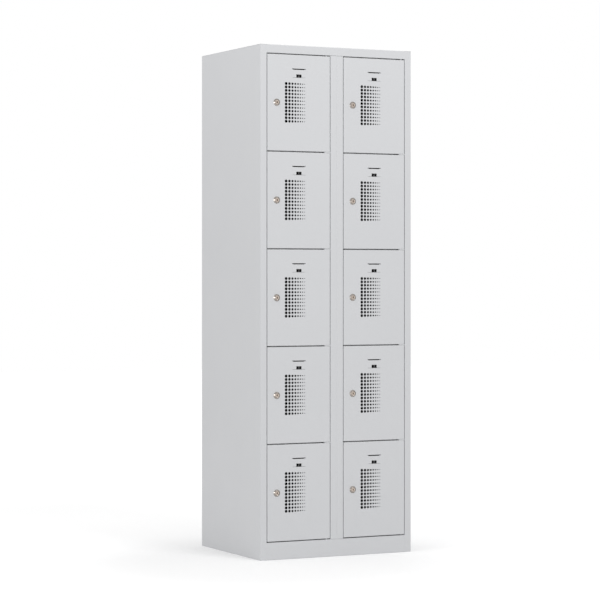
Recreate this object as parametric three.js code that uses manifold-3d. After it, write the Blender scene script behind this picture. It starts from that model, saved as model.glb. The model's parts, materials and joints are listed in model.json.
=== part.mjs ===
// A steel compartment locker: two columns of five lockable boxes in one welded cabinet of folded sheet.
// Millimetres, +Z up. The doors face -Y. The origin is on the floor, in the middle of the outline,
// which runs from the faces of the locks to the back. Columns are named from the left, tiers from the top.

import * as THREE from 'three';
import { mergeVertices } from 'three/addons/utils/BufferGeometryUtils.js';
import Module from 'manifold-3d';

const wasm = await Module();
wasm.setup();

// Cabinet
const CABINET_WIDTH = 600;
const CABINET_DEPTH = 500;
const CABINET_HEIGHT = 1800;
const COLUMN_NAMES = ['left', 'right'];
const TIER_COUNT = 5;

// Folded sheet
const SHEET = 0.8;
const BEND_RADIUS = 1.6; // outside of a fold
const BEND_STEPS = 2; // facets round a fold
const INNER_BEND_STEPS = 1; // the same on the shelves
const SEAM = 0.3; // between pieces that are welded together or rest on each other
const CUT_OVERRUN = 5; // how far a cut runs past the metal

// Front frame
const STILE_WIDTH = 25;
const TOP_RAIL_HEIGHT = 29.5;
const PLINTH_HEIGHT = 61;
const DOOR_GAP = 3; // all round a door
const STOP_WIDTH = 12; // of the flange behind a door's edge
const STOP_GAP = 1; // from a closed door to that flange
const SWING_CLEARANCE = 3.3; // from the door's turning inner corner to the flange on the hinge side
const LIP_CLEARANCE = 1.2; // from that corner to the ends of the shelves' lips and of the roof's stop
const RAIL_STOP_HEIGHT = 13;

// Walls, roof and foot
const REAR_FLANGE = 15;
const END_FLANGE = 12; // at the top and the foot of a sheet
const PARTITION_FLANGE = 12;
const PARTITION_DROP = 21; // from the mullion's foot to the partition's
const FOOT_FLANGE = 18;
const BACK_FOOT_GAP = 1;

// Shelves
const SHELF_RISE = 8; // from the middle of a door gap to the shelf's upper face
const SHELF_LIP = 22;
const SHELF_LIP_RETURN = 8;
const SHELF_FLANGE = 12;

// Door leaf
const DOOR_THICKNESS = 18;
const DOOR_RETURN = 12; // flange round the leaf's open back

// Perforation, counted from the lock side: each column is finer and closer than the one before
const HOLE_COLUMN_COUNT = 3;
const HOLE_ROW_COUNT = 12;
const HOLE_ROW_PITCH = 12;
const LARGEST_HOLE = 10;
const HOLE_STEP = 1.05;
const FIRST_COLUMN_PITCH = 12.85;
const COLUMN_PITCH_STEP = 0.83;
const FIRST_COLUMN_FROM_LOCK = 36.6;
const HOLES_ABOVE_LOCK = 1; // from the lock's axis to the middle of the rows
const HOLE_SIDES = 4;

// Card holder: a slot for the card, two windows that show it and a low frame behind that keeps it
const CARD_WIDTH = 51;
const CARD_HEIGHT = 29.5;
const CARD_SLOT_HEIGHT = 3;
const CARD_SLOT_BELOW_TOP = 50.7;
const CARD_ROOM = 0.8; // between the door sheet and the frame's lips
const CARD_LIP = 4;
const WINDOW_WIDTH = 9.2;
const WINDOW_HEIGHT = 10.8;
const WINDOW_WEB = 1;
const WINDOW_BELOW_TOP = 74.5;

// Hinges
const PIN_DIAMETER = 5;
const PIN_SIDES = 6;
const PIN_CLEARANCE = 0.3;
const PIN_FROM_EDGE = 10; // from the door's edge to the pin's axis
const CORNER_CLEARANCE = 0.8; // from the door's turning outer corner to the stile
const PIN_REACH = 6; // into the door
const PIN_HEAD_DIAMETER = 9;
const PIN_HEAD_THICKNESS = 2;
const BRACKET_CLEARANCE = 0.3; // to the doors above and below
const BRACKET_REACH = 10; // past the pin, away from the stile
const BRACKET_CORNER = 5;
const BRACKET_SETBACK = 0.6; // from the cabinet's front
const BRACKET_REAR_GAP = 2; // to the shelf's lip
const TAIL_INSET = 1.8; // from the bracket's front and rear edges
const TAIL_LENGTH = 5; // inside the stile

// Cam lock
const LOCK_FROM_EDGE = 35.5;
const LOCK_SEGMENTS = 10;
const LOCK_HOLE_SIDES = 8;
const COLLAR_DIAMETER = 25;
const COLLAR_PROUD = 3;
const COLLAR_BEVEL = 1.75;
const COLLAR_RIM = 1.2; // height of the collar's upright edge
const BARREL_DIAMETER = 18.6;
const BARREL_CLEARANCE = 0.3;
const PLUG_DIAMETER = 13;
const PLUG_CLEARANCE = 0.3;
const PLUG_RECESS = 0.6; // from the collar's face to the plug's
const KEYWAY_WIDTH = 1.8;
const KEYWAY_HEIGHT = 7.5;
const KEYWAY_DEPTH = 6;
const CAM_THICKNESS = 2.5;
const CAM_CLEARANCE = 0.5; // behind the flange that the cam locks against
const CAM_TIP_GAP = 4; // from the locked cam's tip to the stile
const CAM_TIP_WIDTH = 12;
const CAM_TIP_CHAMFER = 3;
const CAM_HUB_DIAMETER = 18;
const CAM_HUB_STEPS = 5;
const CAM_SCREW_DIAMETER = 9;
const CAM_SCREW_HEIGHT = 2.4;
const CAM_SCREW_SIDES = 6;

// Sizes and places that follow from them
const HALF_SHEET = SHEET / 2;
const COLUMN_WIDTH = CABINET_WIDTH / COLUMN_NAMES.length;
const DOOR_WIDTH = COLUMN_WIDTH - 2 * STILE_WIDTH - 2 * DOOR_GAP;
const RAIL_UNDERSIDE = CABINET_HEIGHT - TOP_RAIL_HEIGHT;
const TIER_PITCH = (RAIL_UNDERSIDE - PLINTH_HEIGHT - DOOR_GAP) / TIER_COUNT;
const DOOR_HEIGHT = TIER_PITCH - DOOR_GAP;
const FRONT = (COLLAR_PROUD - CABINET_DEPTH) / 2;
const BACK = FRONT + CABINET_DEPTH;

// The pin lies as deep as lets the door's outer corner turn clear of the stile.
const PIN_FROM_FRONT = Math.sqrt((PIN_FROM_EDGE + DOOR_GAP - CORNER_CLEARANCE) ** 2 - PIN_FROM_EDGE ** 2);
const INNER_CORNER_SWING = Math.hypot(PIN_FROM_EDGE, DOOR_THICKNESS - PIN_FROM_FRONT);
const LOCK_STOP_DEPTH = DOOR_THICKNESS + STOP_GAP;
const HINGE_STOP_DEPTH = PIN_FROM_FRONT + INNER_CORNER_SWING + SWING_CLEARANCE;

// The lips behind the door gaps end short of the pin, where that corner turns past their front.
const CORNER_PASS = Math.max(0, INNER_CORNER_SWING ** 2 - (LOCK_STOP_DEPTH - PIN_FROM_FRONT) ** 2);
const LIP_TO_PIN = Math.sqrt(CORNER_PASS) + LIP_CLEARANCE;

const FRAME_DEPTH = HINGE_STOP_DEPTH + SHEET;
const SHELF_SHOULDER = FRONT + FRAME_DEPTH + SEAM; // where a shelf widens behind the stiles
const PIN_Y = FRONT + PIN_FROM_FRONT;

const WALL_TOP = CABINET_HEIGHT - SHEET - SEAM;
const BACK_PANEL_REAR = BACK - SHEET - SEAM;
const PARTITION_REAR = BACK_PANEL_REAR - SHEET - SEAM;
const SHELF_REAR = PARTITION_REAR - SHEET - SEAM;
const INSIDE_STILES = CABINET_WIDTH / 2 - STILE_WIDTH - SEAM;

// Finishes
const lacquer = new THREE.MeshStandardMaterial({ color: 0xd2d3d6, roughness: 0.55, metalness: 0 });
const zinc = new THREE.MeshStandardMaterial({ color: 0xb9bcc0, roughness: 0.4, metalness: 0.9 });
const nickel = new THREE.MeshStandardMaterial({ color: 0xcfc6bc, roughness: 0.28, metalness: 1 });

/** Turns a closed geometry into a solid that can be cut and joined. */
function solidOf(geometry) {
  geometry.deleteAttribute('normal');
  geometry.deleteAttribute('uv');
  const merged = mergeVertices(geometry, SHEET / 1000);
  const vertProperties = new Float32Array(merged.attributes.position.array);
  const triVerts = new Uint32Array(merged.index.array);
  return new wasm.Manifold(new wasm.Mesh({ numProp: 3, vertProperties, triVerts }));
}

/** Turns a solid into a named mesh. */
function meshOf(name, solid, material) {
  const { vertProperties, triVerts } = solid.getMesh();
  const geometry = new THREE.BufferGeometry();
  geometry.setAttribute('position', new THREE.BufferAttribute(vertProperties, 3));
  geometry.setIndex(new THREE.BufferAttribute(triVerts, 1));
  const mesh = new THREE.Mesh(geometry, material);
  mesh.name = name;
  return mesh;
}

/** Moves an object and returns it. */
function place(object, x, y, z) {
  object.position.set(x, y, z);
  return object;
}

/** Joins solids into one. */
function join(...solids) {
  return solids.reduce((whole, piece) => whole.add(piece));
}

/** Cuts tools out of a solid. */
function cut(solid, ...tools) {
  return tools.reduce((rest, tool) => rest.subtract(tool), solid);
}

/** A block between two opposite corners, given in any order. */
function block([x0, y0, z0], [x1, y1, z1]) {
  const geometry = new THREE.BoxGeometry(Math.abs(x1 - x0), Math.abs(y1 - y0), Math.abs(z1 - z0));
  geometry.translate((x0 + x1) / 2, (y0 + y1) / 2, (z0 + z1) / 2);
  return solidOf(geometry);
}

/** An outline pushed along an axis. Its points are [x, y] for z, [y, z] for x and [x, z] for y. */
function prism(axis, outline, from, to) {
  const shape = new THREE.Shape(outline.map(([a, b]) => new THREE.Vector2(a, b)));
  const geometry = new THREE.ExtrudeGeometry(shape, { depth: to - from, bevelEnabled: false });
  const right = new THREE.Vector3(1, 0, 0);
  const back = new THREE.Vector3(0, 1, 0);
  const up = new THREE.Vector3(0, 0, 1);
  const turns = { x: [back, up, right], y: [right, up, back.clone().negate()], z: [right, back, up] };
  const starts = { x: [from, 0, 0], y: [0, to, 0], z: [0, 0, from] };
  geometry.applyMatrix4(new THREE.Matrix4().makeBasis(...turns[axis]));
  geometry.translate(...starts[axis]);
  return solidOf(geometry);
}

/** A closed profile [radius, y] turned about the Y axis, its outer side drawn towards +Y. */
function turned(profile) {
  const points = profile.map(([radius, y]) => new THREE.Vector2(radius, y));
  return solidOf(new THREE.LatheGeometry([...points, points[0]], LOCK_SEGMENTS));
}

/** A regular polygon with its corners on a circle. */
function polygon(a, b, diameter, sides) {
  return Array.from({ length: sides }, (_, index) => {
    const angle = 2 * Math.PI * (index + 0.5) / sides;
    return [a + diameter / 2 * Math.cos(angle), b + diameter / 2 * Math.sin(angle)];
  });
}

/** A regular polygon with its flats on a circle, so that a round piece of that diameter turns inside. */
function roomyPolygon(a, b, diameter, sides) {
  return polygon(a, b, diameter / Math.cos(Math.PI / sides), sides);
}

/** A regular polygon with the area of a circle. */
function dot(a, b, diameter, sides) {
  const areaShare = sides * Math.sin(2 * Math.PI / sides) / (2 * Math.PI);
  return polygon(a, b, diameter / Math.sqrt(areaShare), sides);
}

/** A rectangle given by its middle and its size. */
function rectangle(a, b, width, height) {
  const [a0, a1] = [a - width / 2, a + width / 2];
  const [b0, b1] = [b - height / 2, b + height / 2];
  return [[a0, b0], [a1, b0], [a1, b1], [a0, b1]];
}

/** A rectangle whose two corners on its lower edge are rounded like folds. */
function foldedRectangle(a0, a1, b0, b1, radius) {
  const outline = [[a1, b1], [a0, b1]];
  [[a0 + radius, Math.PI], [a1 - radius, 1.5 * Math.PI]].forEach(([centre, start]) => {
    for (let step = 0; step <= BEND_STEPS; step += 1) {
      const angle = start + 0.5 * Math.PI * step / BEND_STEPS;
      outline.push([centre + radius * Math.cos(angle), b0 + radius + radius * Math.sin(angle)]);
    }
  });
  return outline;
}

/** The outline of a sheet folded along a line through its middle, with a round fold at each corner. */
function foldedSheet(line, steps = BEND_STEPS) {
  const points = line.map(([a, b]) => new THREE.Vector2(a, b));
  const radius = BEND_RADIUS - HALF_SHEET;
  const faces = [[], []];
  points.forEach((point, index) => {
    const arriving = index > 0 && point.clone().sub(points[index - 1]).normalize();
    const leaving = index < points.length - 1 && points[index + 1].clone().sub(point).normalize();
    if (!arriving || !leaving) {
      const along = arriving || leaving;
      const across = new THREE.Vector2(-along.y, along.x).multiplyScalar(HALF_SHEET);
      faces[0].push(point.clone().add(across));
      faces[1].push(point.clone().sub(across));
      return;
    }
    const turn = Math.sign(arriving.cross(leaving));
    const angle = Math.acos(arriving.dot(leaving));
    const inward = new THREE.Vector2(-arriving.y, arriving.x).multiplyScalar(turn);
    const centre = point.clone();
    centre.addScaledVector(arriving, -radius * Math.tan(angle / 2));
    centre.addScaledVector(inward, radius);
    for (let step = 0; step <= steps; step += 1) {
      const outward = inward.clone().negate();
      outward.rotateAround(new THREE.Vector2(0, 0), turn * angle * step / steps);
      faces[0].push(centre.clone().addScaledVector(outward, radius - turn * HALF_SHEET));
      faces[1].push(centre.clone().addScaledVector(outward, radius + turn * HALF_SHEET));
    }
  });
  return [...faces[0], ...faces[1].reverse()].map(({ x, y }) => [x, y]);
}

/** The height of the middle of the door gap below a tier. The gap above the first tier is number 0. */
function gapHeight(tier) {
  return RAIL_UNDERSIDE - DOOR_GAP / 2 - tier * TIER_PITCH;
}

/** Where a column's walls, stops, lips and hinge pins are, across the cabinet. */
function columnPlan(column) {
  const leftBound = -CABINET_WIDTH / 2 + column * COLUMN_WIDTH;
  const rightBound = leftBound + COLUMN_WIDTH;
  const pinX = rightBound - STILE_WIDTH - DOOR_GAP - PIN_FROM_EDGE;
  const left = leftBound + (column > 0 ? SEAM / 2 : 0);
  const right = rightBound - (column < COLUMN_NAMES.length - 1 ? SEAM / 2 : 0);
  return {
    left,
    right,
    stopLeft: left + STILE_WIDTH + STOP_WIDTH + SEAM,
    stopRight: right - STILE_WIDTH - STOP_WIDTH - SEAM,
    lipRight: pinX - LIP_TO_PIN,
    pinX,
  };
}

/** A hole for a hinge pin through the flange at the given height. */
function pinHole(x, y, z) {
  const outline = roomyPolygon(x, y, PIN_DIAMETER + 2 * PIN_CLEARANCE, PIN_SIDES);
  return prism('z', outline, z - PIN_DIAMETER, z + PIN_DIAMETER);
}

/** The depth of the middle of a wall's stop flange, which lies deeper on the hinge side. */
function stopMiddle(side) {
  return FRONT + (side > 0 ? LOCK_STOP_DEPTH : HINGE_STOP_DEPTH) + HALF_SHEET;
}

/**
 * A column's wall, folded at the front into a stile and the flange that stops the doors.
 * Side is 1 for the wall at the left of its column, which the cams lock against,
 * and -1 for the one at the right, which carries the hinges.
 */
function columnWall({ wallX, side, rear, rearFlange, bottom, stileBottom, stileTop }) {
  const across = (reach) => wallX + side * reach;
  const stopY = stopMiddle(side);
  const outline = foldedSheet([
    [across(STILE_WIDTH + STOP_WIDTH), stopY],
    [across(STILE_WIDTH - HALF_SHEET), stopY],
    [across(STILE_WIDTH - HALF_SHEET), FRONT + HALF_SHEET],
    [across(HALF_SHEET), FRONT + HALF_SHEET],
    [across(HALF_SHEET), rear - HALF_SHEET],
    [across(rearFlange), rear - HALF_SHEET],
  ]);
  const frameCut = (z0, z1) => block(
    [across(-CUT_OVERRUN), FRONT - CUT_OVERRUN, z0],
    [across(STILE_WIDTH + STOP_WIDTH + CUT_OVERRUN), SHELF_SHOULDER, z1],
  );
  const stopCut = (z0, z1) => block(
    [across(STILE_WIDTH), FRONT, z0],
    [across(STILE_WIDTH + STOP_WIDTH + CUT_OVERRUN), SHELF_SHOULDER, z1],
  );
  return cut(
    prism('z', outline, bottom, WALL_TOP),
    frameCut(bottom - CUT_OVERRUN, stileBottom),
    frameCut(stileTop, WALL_TOP + CUT_OVERRUN),
    stopCut(stileBottom - CUT_OVERRUN, PLINTH_HEIGHT + SEAM),
    stopCut(RAIL_UNDERSIDE - SEAM, stileTop + CUT_OVERRUN),
    ...(side < 0 ? bracketSlots(across(STILE_WIDTH - HALF_SHEET)) : []),
  );
}

/** Slots through a hinge stile for the tails of the brackets between doors. */
function bracketSlots(x) {
  const front = FRONT + BRACKET_SETBACK + TAIL_INSET - SEAM;
  const rear = FRONT + LOCK_STOP_DEPTH - BRACKET_REAR_GAP - TAIL_INSET + SEAM;
  const reach = DOOR_GAP / 2 - BRACKET_CLEARANCE + SEAM;
  return Array.from({ length: TIER_COUNT - 1 }, (_, index) => {
    const middle = gapHeight(index + 1);
    return block([x - SHEET, front, middle - reach], [x + SHEET, rear, middle + reach]);
  });
}

/**
 * An outer side panel. Its stile runs from the floor to the roof, with a plate inside that carries on
 * the floor of the lowest compartment, and its ends are folded inwards.
 */
function sidePanel(name, wallX, side) {
  const wall = columnWall({
    wallX, side, rear: BACK, rearFlange: REAR_FLANGE, bottom: 0, stileBottom: 0, stileTop: WALL_TOP,
  });
  const ends = [[0, SHEET], [WALL_TOP - SHEET, WALL_TOP]].map(([z0, z1]) => block(
    [wallX + side * HALF_SHEET, SHELF_SHOULDER, z0],
    [wallX + side * END_FLANGE, SHELF_REAR, z1],
  ));
  const floorTop = gapHeight(TIER_COUNT) + SHELF_RISE;
  const plate = block(
    [wallX + side * HALF_SHEET, FRONT + HALF_SHEET, floorTop - SHEET],
    [wallX + side * (STILE_WIDTH - HALF_SHEET), stopMiddle(side), floorTop],
  );
  return meshOf(name, join(wall, ...ends, plate), lacquer);
}

/** A partition between two columns: half of the mullion and the wall behind it. */
function partition(name, wallX, side) {
  return meshOf(name, columnWall({
    wallX,
    side,
    rear: PARTITION_REAR,
    rearFlange: PARTITION_FLANGE,
    bottom: PLINTH_HEIGHT - PARTITION_DROP,
    stileBottom: PLINTH_HEIGHT + SEAM,
    stileTop: RAIL_UNDERSIDE - SEAM,
  }), lacquer);
}

/** A shelf with a folded lip behind the door gap and flanges along the walls and the back. */
function shelf(name, column, tier, lip) {
  const { left, right, stopLeft, stopRight, lipRight } = columnPlan(column);
  const fromWall = SHEET + SEAM + HALF_SHEET;
  const lipY = FRONT + LOCK_STOP_DEPTH + HALF_SHEET;
  const level = gapHeight(tier) + SHELF_RISE - HALF_SHEET;
  const lengthways = foldedSheet([
    ...lip(lipY),
    [lipY, level],
    [SHELF_REAR - HALF_SHEET, level],
    [SHELF_REAR - HALF_SHEET, level - SHELF_FLANGE],
  ], INNER_BEND_STEPS);
  const crossways = foldedSheet([
    [left + fromWall, level - SHELF_FLANGE],
    [left + fromWall, level],
    [right - fromWall, level],
    [right - fromWall, level - SHELF_FLANGE],
  ], INNER_BEND_STEPS);
  const hingeCorner = block(
    [lipRight, FRONT, level - SHELF_LIP - CUT_OVERRUN],
    [right, SHELF_SHOULDER, level + CUT_OVERRUN],
  );
  return meshOf(name, join(
    cut(prism('x', lengthways, stopLeft, stopRight), hingeCorner),
    prism('y', crossways, SHELF_SHOULDER, SHELF_REAR - SHEET - BEND_RADIUS),
  ), lacquer);
}

/** The shelf below a tier, its lip folded back under. */
function middleShelf(name, column, tier) {
  const foot = gapHeight(tier) + SHELF_RISE - SHELF_LIP + HALF_SHEET;
  return shelf(name, column, tier, (y) => [[y + SHELF_LIP_RETURN, foot], [y, foot]]);
}

/** The floor of the lowest compartment, its lip standing on the plinth. */
function compartmentFloor(name, column) {
  return shelf(name, column, TIER_COUNT, (y) => [[y, PLINTH_HEIGHT + SEAM]]);
}

/** The roof sheet, with the top rail folded from it and a stop behind the upper edges of the top doors. */
function roof() {
  const outline = foldedSheet([
    [FRONT + LOCK_STOP_DEPTH + HALF_SHEET, RAIL_UNDERSIDE - RAIL_STOP_HEIGHT],
    [FRONT + LOCK_STOP_DEPTH + HALF_SHEET, RAIL_UNDERSIDE + HALF_SHEET],
    [FRONT + HALF_SHEET, RAIL_UNDERSIDE + HALF_SHEET],
    [FRONT + HALF_SHEET, CABINET_HEIGHT - HALF_SHEET],
    [BACK - HALF_SHEET, CABINET_HEIGHT - HALF_SHEET],
    [BACK - HALF_SHEET, CABINET_HEIGHT - REAR_FLANGE],
  ]);
  const cover = block(
    [-CABINET_WIDTH / 2, FRONT, CABINET_HEIGHT - SHEET],
    [CABINET_WIDTH / 2, BACK, CABINET_HEIGHT],
  );
  const folds = [[FRONT - CUT_OVERRUN, FRONT + BEND_RADIUS], [BACK - BEND_RADIUS, BACK + CUT_OVERRUN]];
  const foldRoom = folds.map(([y0, y1]) => block(
    [-INSIDE_STILES, y0, CABINET_HEIGHT - BEND_RADIUS],
    [INSIDE_STILES, y1, CABINET_HEIGHT + CUT_OVERRUN],
  ));
  const plans = COLUMN_NAMES.map((_, column) => columnPlan(column));
  const stopStarts = [...plans.map(({ stopLeft }) => stopLeft), CABINET_WIDTH / 2];
  const stopEnds = [-CABINET_WIDTH / 2, ...plans.map(({ lipRight }) => lipRight)];
  const stopGaps = stopStarts.map((start, index) => block(
    [stopEnds[index], FRONT + BEND_RADIUS, RAIL_UNDERSIDE - RAIL_STOP_HEIGHT - CUT_OVERRUN],
    [start, FRONT + FRAME_DEPTH, RAIL_UNDERSIDE],
  ));
  const pinHoles = plans.map(({ pinX }) => pinHole(pinX, PIN_Y, RAIL_UNDERSIDE));
  const rail = prism('x', outline, -INSIDE_STILES, INSIDE_STILES);
  return meshOf('roof', cut(join(rail, cut(cover, ...foldRoom)), ...stopGaps, ...pinHoles), lacquer);
}

/** The plinth between the stiles, folded back along the floor and under the lowest doors. */
function plinth() {
  const outline = foldedSheet([
    [FRONT + FOOT_FLANGE, HALF_SHEET],
    [FRONT + HALF_SHEET, HALF_SHEET],
    [FRONT + HALF_SHEET, PLINTH_HEIGHT - HALF_SHEET],
    [FRONT + FRAME_DEPTH, PLINTH_HEIGHT - HALF_SHEET],
  ]);
  const pinHoles = COLUMN_NAMES.map((_, column) => pinHole(columnPlan(column).pinX, PIN_Y, PLINTH_HEIGHT));
  return meshOf('plinth', cut(prism('x', outline, -INSIDE_STILES, INSIDE_STILES), ...pinHoles), lacquer);
}

/** The back sheet, held between the side panels and folded forwards at its foot. */
function backPanel() {
  const inside = CABINET_WIDTH / 2 - SHEET - SEAM;
  const outline = foldedSheet([
    [BACK_PANEL_REAR - END_FLANGE, BACK_FOOT_GAP + HALF_SHEET],
    [BACK_PANEL_REAR - HALF_SHEET, BACK_FOOT_GAP + HALF_SHEET],
    [BACK_PANEL_REAR - HALF_SHEET, WALL_TOP],
  ]);
  const corners = [-1, 1].map((side) => block(
    [side * (inside - END_FLANGE), BACK_PANEL_REAR - END_FLANGE - CUT_OVERRUN, 0],
    [side * (inside + CUT_OVERRUN), SHELF_REAR + SEAM, END_FLANGE],
  ));
  return meshOf('back_panel', cut(prism('x', outline, -inside, inside), ...corners), lacquer);
}

/** The outlines of a door's holes: rows at one pitch, columns that shrink and close up away from the lock. */
function perforation(lockX, middleZ) {
  const outlines = [];
  let x = lockX + FIRST_COLUMN_FROM_LOCK;
  for (let column = 0; column < HOLE_COLUMN_COUNT; column += 1) {
    for (let row = 0; row < HOLE_ROW_COUNT; row += 1) {
      const z = middleZ + (row - (HOLE_ROW_COUNT - 1) / 2) * HOLE_ROW_PITCH;
      outlines.push(dot(x, z, LARGEST_HOLE - column * HOLE_STEP, HOLE_SIDES));
    }
    x += FIRST_COLUMN_PITCH - column * COLUMN_PITCH_STEP;
  }
  return outlines;
}

/** A ledge and two lipped sides, welded behind the door sheet, that keep a card under the windows. */
function cardFrame(middle, sheetBack) {
  const top = DOOR_HEIGHT - CARD_SLOT_BELOW_TOP;
  const bottom = top - CARD_HEIGHT;
  const reach = CARD_WIDTH / 2;
  const ledge = [
    [middle - reach - SHEET, top],
    [middle - reach - SHEET, bottom - SHEET],
    [middle + reach + SHEET, bottom - SHEET],
    [middle + reach + SHEET, top],
    [middle + reach, top],
    [middle + reach, bottom],
    [middle - reach, bottom],
    [middle - reach, top],
  ];
  const lipFront = sheetBack + CARD_ROOM;
  const lips = [-1, 1].map((side) => block(
    [middle + side * (reach + SHEET), lipFront, bottom - SHEET],
    [middle + side * (reach - CARD_LIP), lipFront + SHEET, top],
  ));
  return join(prism('y', ledge, sheetBack - HALF_SHEET, lipFront + SHEET), ...lips);
}

/** A door as a full block with folds along its front edges, shrunk on all sides by an inset. */
function doorBlock(left, right, front, rear, inset) {
  const radius = BEND_RADIUS - inset;
  const plan = foldedRectangle(left + inset, right - inset, front + inset, rear - inset, radius);
  const section = foldedRectangle(inset, DOOR_HEIGHT - inset, front + inset, rear - inset, radius);
  const upright = prism('z', plan, inset, DOOR_HEIGHT - inset);
  const level = prism('x', section.map(([z, y]) => [y, z]), left + inset, right - inset);
  return upright.intersect(level);
}

/** A door leaf, a shallow pan with its edges folded in, drawn from its hinge axis and its lower edge. */
function doorLeaf(name) {
  const [left, right] = [PIN_FROM_EDGE - DOOR_WIDTH, PIN_FROM_EDGE];
  const [front, rear] = [-PIN_FROM_FRONT, DOOR_THICKNESS - PIN_FROM_FRONT];
  const middle = (left + right) / 2;
  const lockX = left + LOCK_FROM_EDGE;
  const mouth = block(
    [left + DOOR_RETURN, front + SHEET, DOOR_RETURN],
    [right - DOOR_RETURN, rear + CUT_OVERRUN, DOOR_HEIGHT - DOOR_RETURN],
  );
  const pan = cut(
    doorBlock(left, right, front, rear, 0),
    doorBlock(left, right, front, rear, SHEET),
    mouth,
  );
  const windows = [-1, 1].map((side) => rectangle(
    middle + side * (WINDOW_WIDTH + WINDOW_WEB) / 2,
    DOOR_HEIGHT - WINDOW_BELOW_TOP,
    WINDOW_WIDTH,
    WINDOW_HEIGHT,
  ));
  const lockHole = BARREL_DIAMETER + 2 * BARREL_CLEARANCE;
  const holes = [
    roomyPolygon(lockX, DOOR_HEIGHT / 2, lockHole, LOCK_HOLE_SIDES),
    rectangle(middle, DOOR_HEIGHT - CARD_SLOT_BELOW_TOP, CARD_WIDTH, CARD_SLOT_HEIGHT),
    ...windows,
    ...perforation(lockX, DOOR_HEIGHT / 2 + HOLES_ABOVE_LOCK),
  ];
  return meshOf(name, cut(
    join(pan, cardFrame(middle, front + SHEET)),
    ...holes.map((outline) => prism('y', outline, front - CUT_OVERRUN, front + SHEET + CARD_ROOM / 2)),
    pinHole(0, 0, 0),
    pinHole(0, 0, DOOR_HEIGHT),
  ), lacquer);
}

/** A lock's housing, drawn from the middle of its hole in the door's front: a collar, a barrel and a bore. */
function lockHousing(name) {
  const bore = (PLUG_DIAMETER / 2 + PLUG_CLEARANCE) / Math.cos(Math.PI / LOCK_SEGMENTS);
  const collar = COLLAR_DIAMETER / 2;
  return meshOf(name, turned([
    [bore, -COLLAR_PROUD],
    [collar - COLLAR_BEVEL, -COLLAR_PROUD],
    [collar, -SEAM - COLLAR_RIM],
    [collar, -SEAM],
    [BARREL_DIAMETER / 2, -SEAM],
    [BARREL_DIAMETER / 2, LOCK_STOP_DEPTH],
    [bore, LOCK_STOP_DEPTH],
  ]), nickel);
}

/** A lock's plug with its keyway, and behind the door the cam, which hangs down while the lock is open. */
function lockCam(name) {
  const plugFace = PLUG_RECESS - COLLAR_PROUD;
  const camFront = LOCK_STOP_DEPTH + SHEET + CAM_CLEARANCE;
  const camMiddle = camFront + CAM_THICKNESS / 2;
  const camBack = camFront + CAM_THICKNESS;
  const reach = LOCK_FROM_EDGE + DOOR_GAP - CAM_TIP_GAP;
  const halfTip = CAM_TIP_WIDTH / 2;
  const hub = Array.from({ length: CAM_HUB_STEPS + 1 }, (_, step) => {
    const angle = Math.PI * step / CAM_HUB_STEPS;
    return [CAM_HUB_DIAMETER / 2 * Math.cos(angle), CAM_HUB_DIAMETER / 2 * Math.sin(angle)];
  });
  const camOutline = [
    ...hub,
    [-halfTip, CAM_TIP_CHAMFER - reach],
    [CAM_TIP_CHAMFER - halfTip, -reach],
    [halfTip - CAM_TIP_CHAMFER, -reach],
    [halfTip, CAM_TIP_CHAMFER - reach],
  ];
  const screwOutline = polygon(0, 0, CAM_SCREW_DIAMETER, CAM_SCREW_SIDES);
  const keyway = rectangle(0, 0, KEYWAY_WIDTH, KEYWAY_HEIGHT);
  return meshOf(name, cut(
    join(
      turned([[0, plugFace], [PLUG_DIAMETER / 2, plugFace], [PLUG_DIAMETER / 2, camMiddle], [0, camMiddle]]),
      prism('y', camOutline, camFront, camBack),
      prism('y', screwOutline, camMiddle, camBack + CAM_SCREW_HEIGHT),
    ),
    prism('y', keyway, plugFace - CUT_OVERRUN, plugFace + KEYWAY_DEPTH),
  ), nickel);
}

/** A bracket between two doors, drawn from its pin: a plate whose tail passes through the stile. */
function hingeBracket(name) {
  const front = BRACKET_SETBACK - PIN_FROM_FRONT;
  const rear = LOCK_STOP_DEPTH - BRACKET_REAR_GAP - PIN_FROM_FRONT;
  const shoulder = PIN_FROM_EDGE + DOOR_GAP - SEAM;
  const tail = PIN_FROM_EDGE + DOOR_GAP + SHEET + TAIL_LENGTH;
  const outline = [
    [-BRACKET_REACH, front + BRACKET_CORNER],
    [BRACKET_CORNER - BRACKET_REACH, front],
    [shoulder, front],
    [shoulder, front + TAIL_INSET],
    [tail, front + TAIL_INSET],
    [tail, rear - TAIL_INSET],
    [shoulder, rear - TAIL_INSET],
    [shoulder, rear],
    [BRACKET_CORNER - BRACKET_REACH, rear],
    [-BRACKET_REACH, rear - BRACKET_CORNER],
  ];
  const thickness = DOOR_GAP - 2 * BRACKET_CLEARANCE;
  const reach = DOOR_GAP / 2 + PIN_REACH;
  return meshOf(name, join(
    prism('z', outline, -thickness / 2, thickness / 2),
    prism('z', polygon(0, 0, PIN_DIAMETER, PIN_SIDES), -reach, reach),
  ), zinc);
}

/** A headed pin through a flange of the frame, for the end of a row of doors. Way is 1 where it points up. */
function endPin(name, way) {
  const rod = (diameter, z0, z1) => prism(
    'z',
    polygon(0, 0, diameter, PIN_SIDES),
    Math.min(way * z0, way * z1),
    Math.max(way * z0, way * z1),
  );
  const head = -(SHEET + SEAM);
  const far = head - PIN_HEAD_THICKNESS;
  return meshOf(name, join(
    rod(PIN_DIAMETER, far, DOOR_GAP + PIN_REACH),
    rod(PIN_HEAD_DIAMETER, far, head),
  ), zinc);
}

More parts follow.
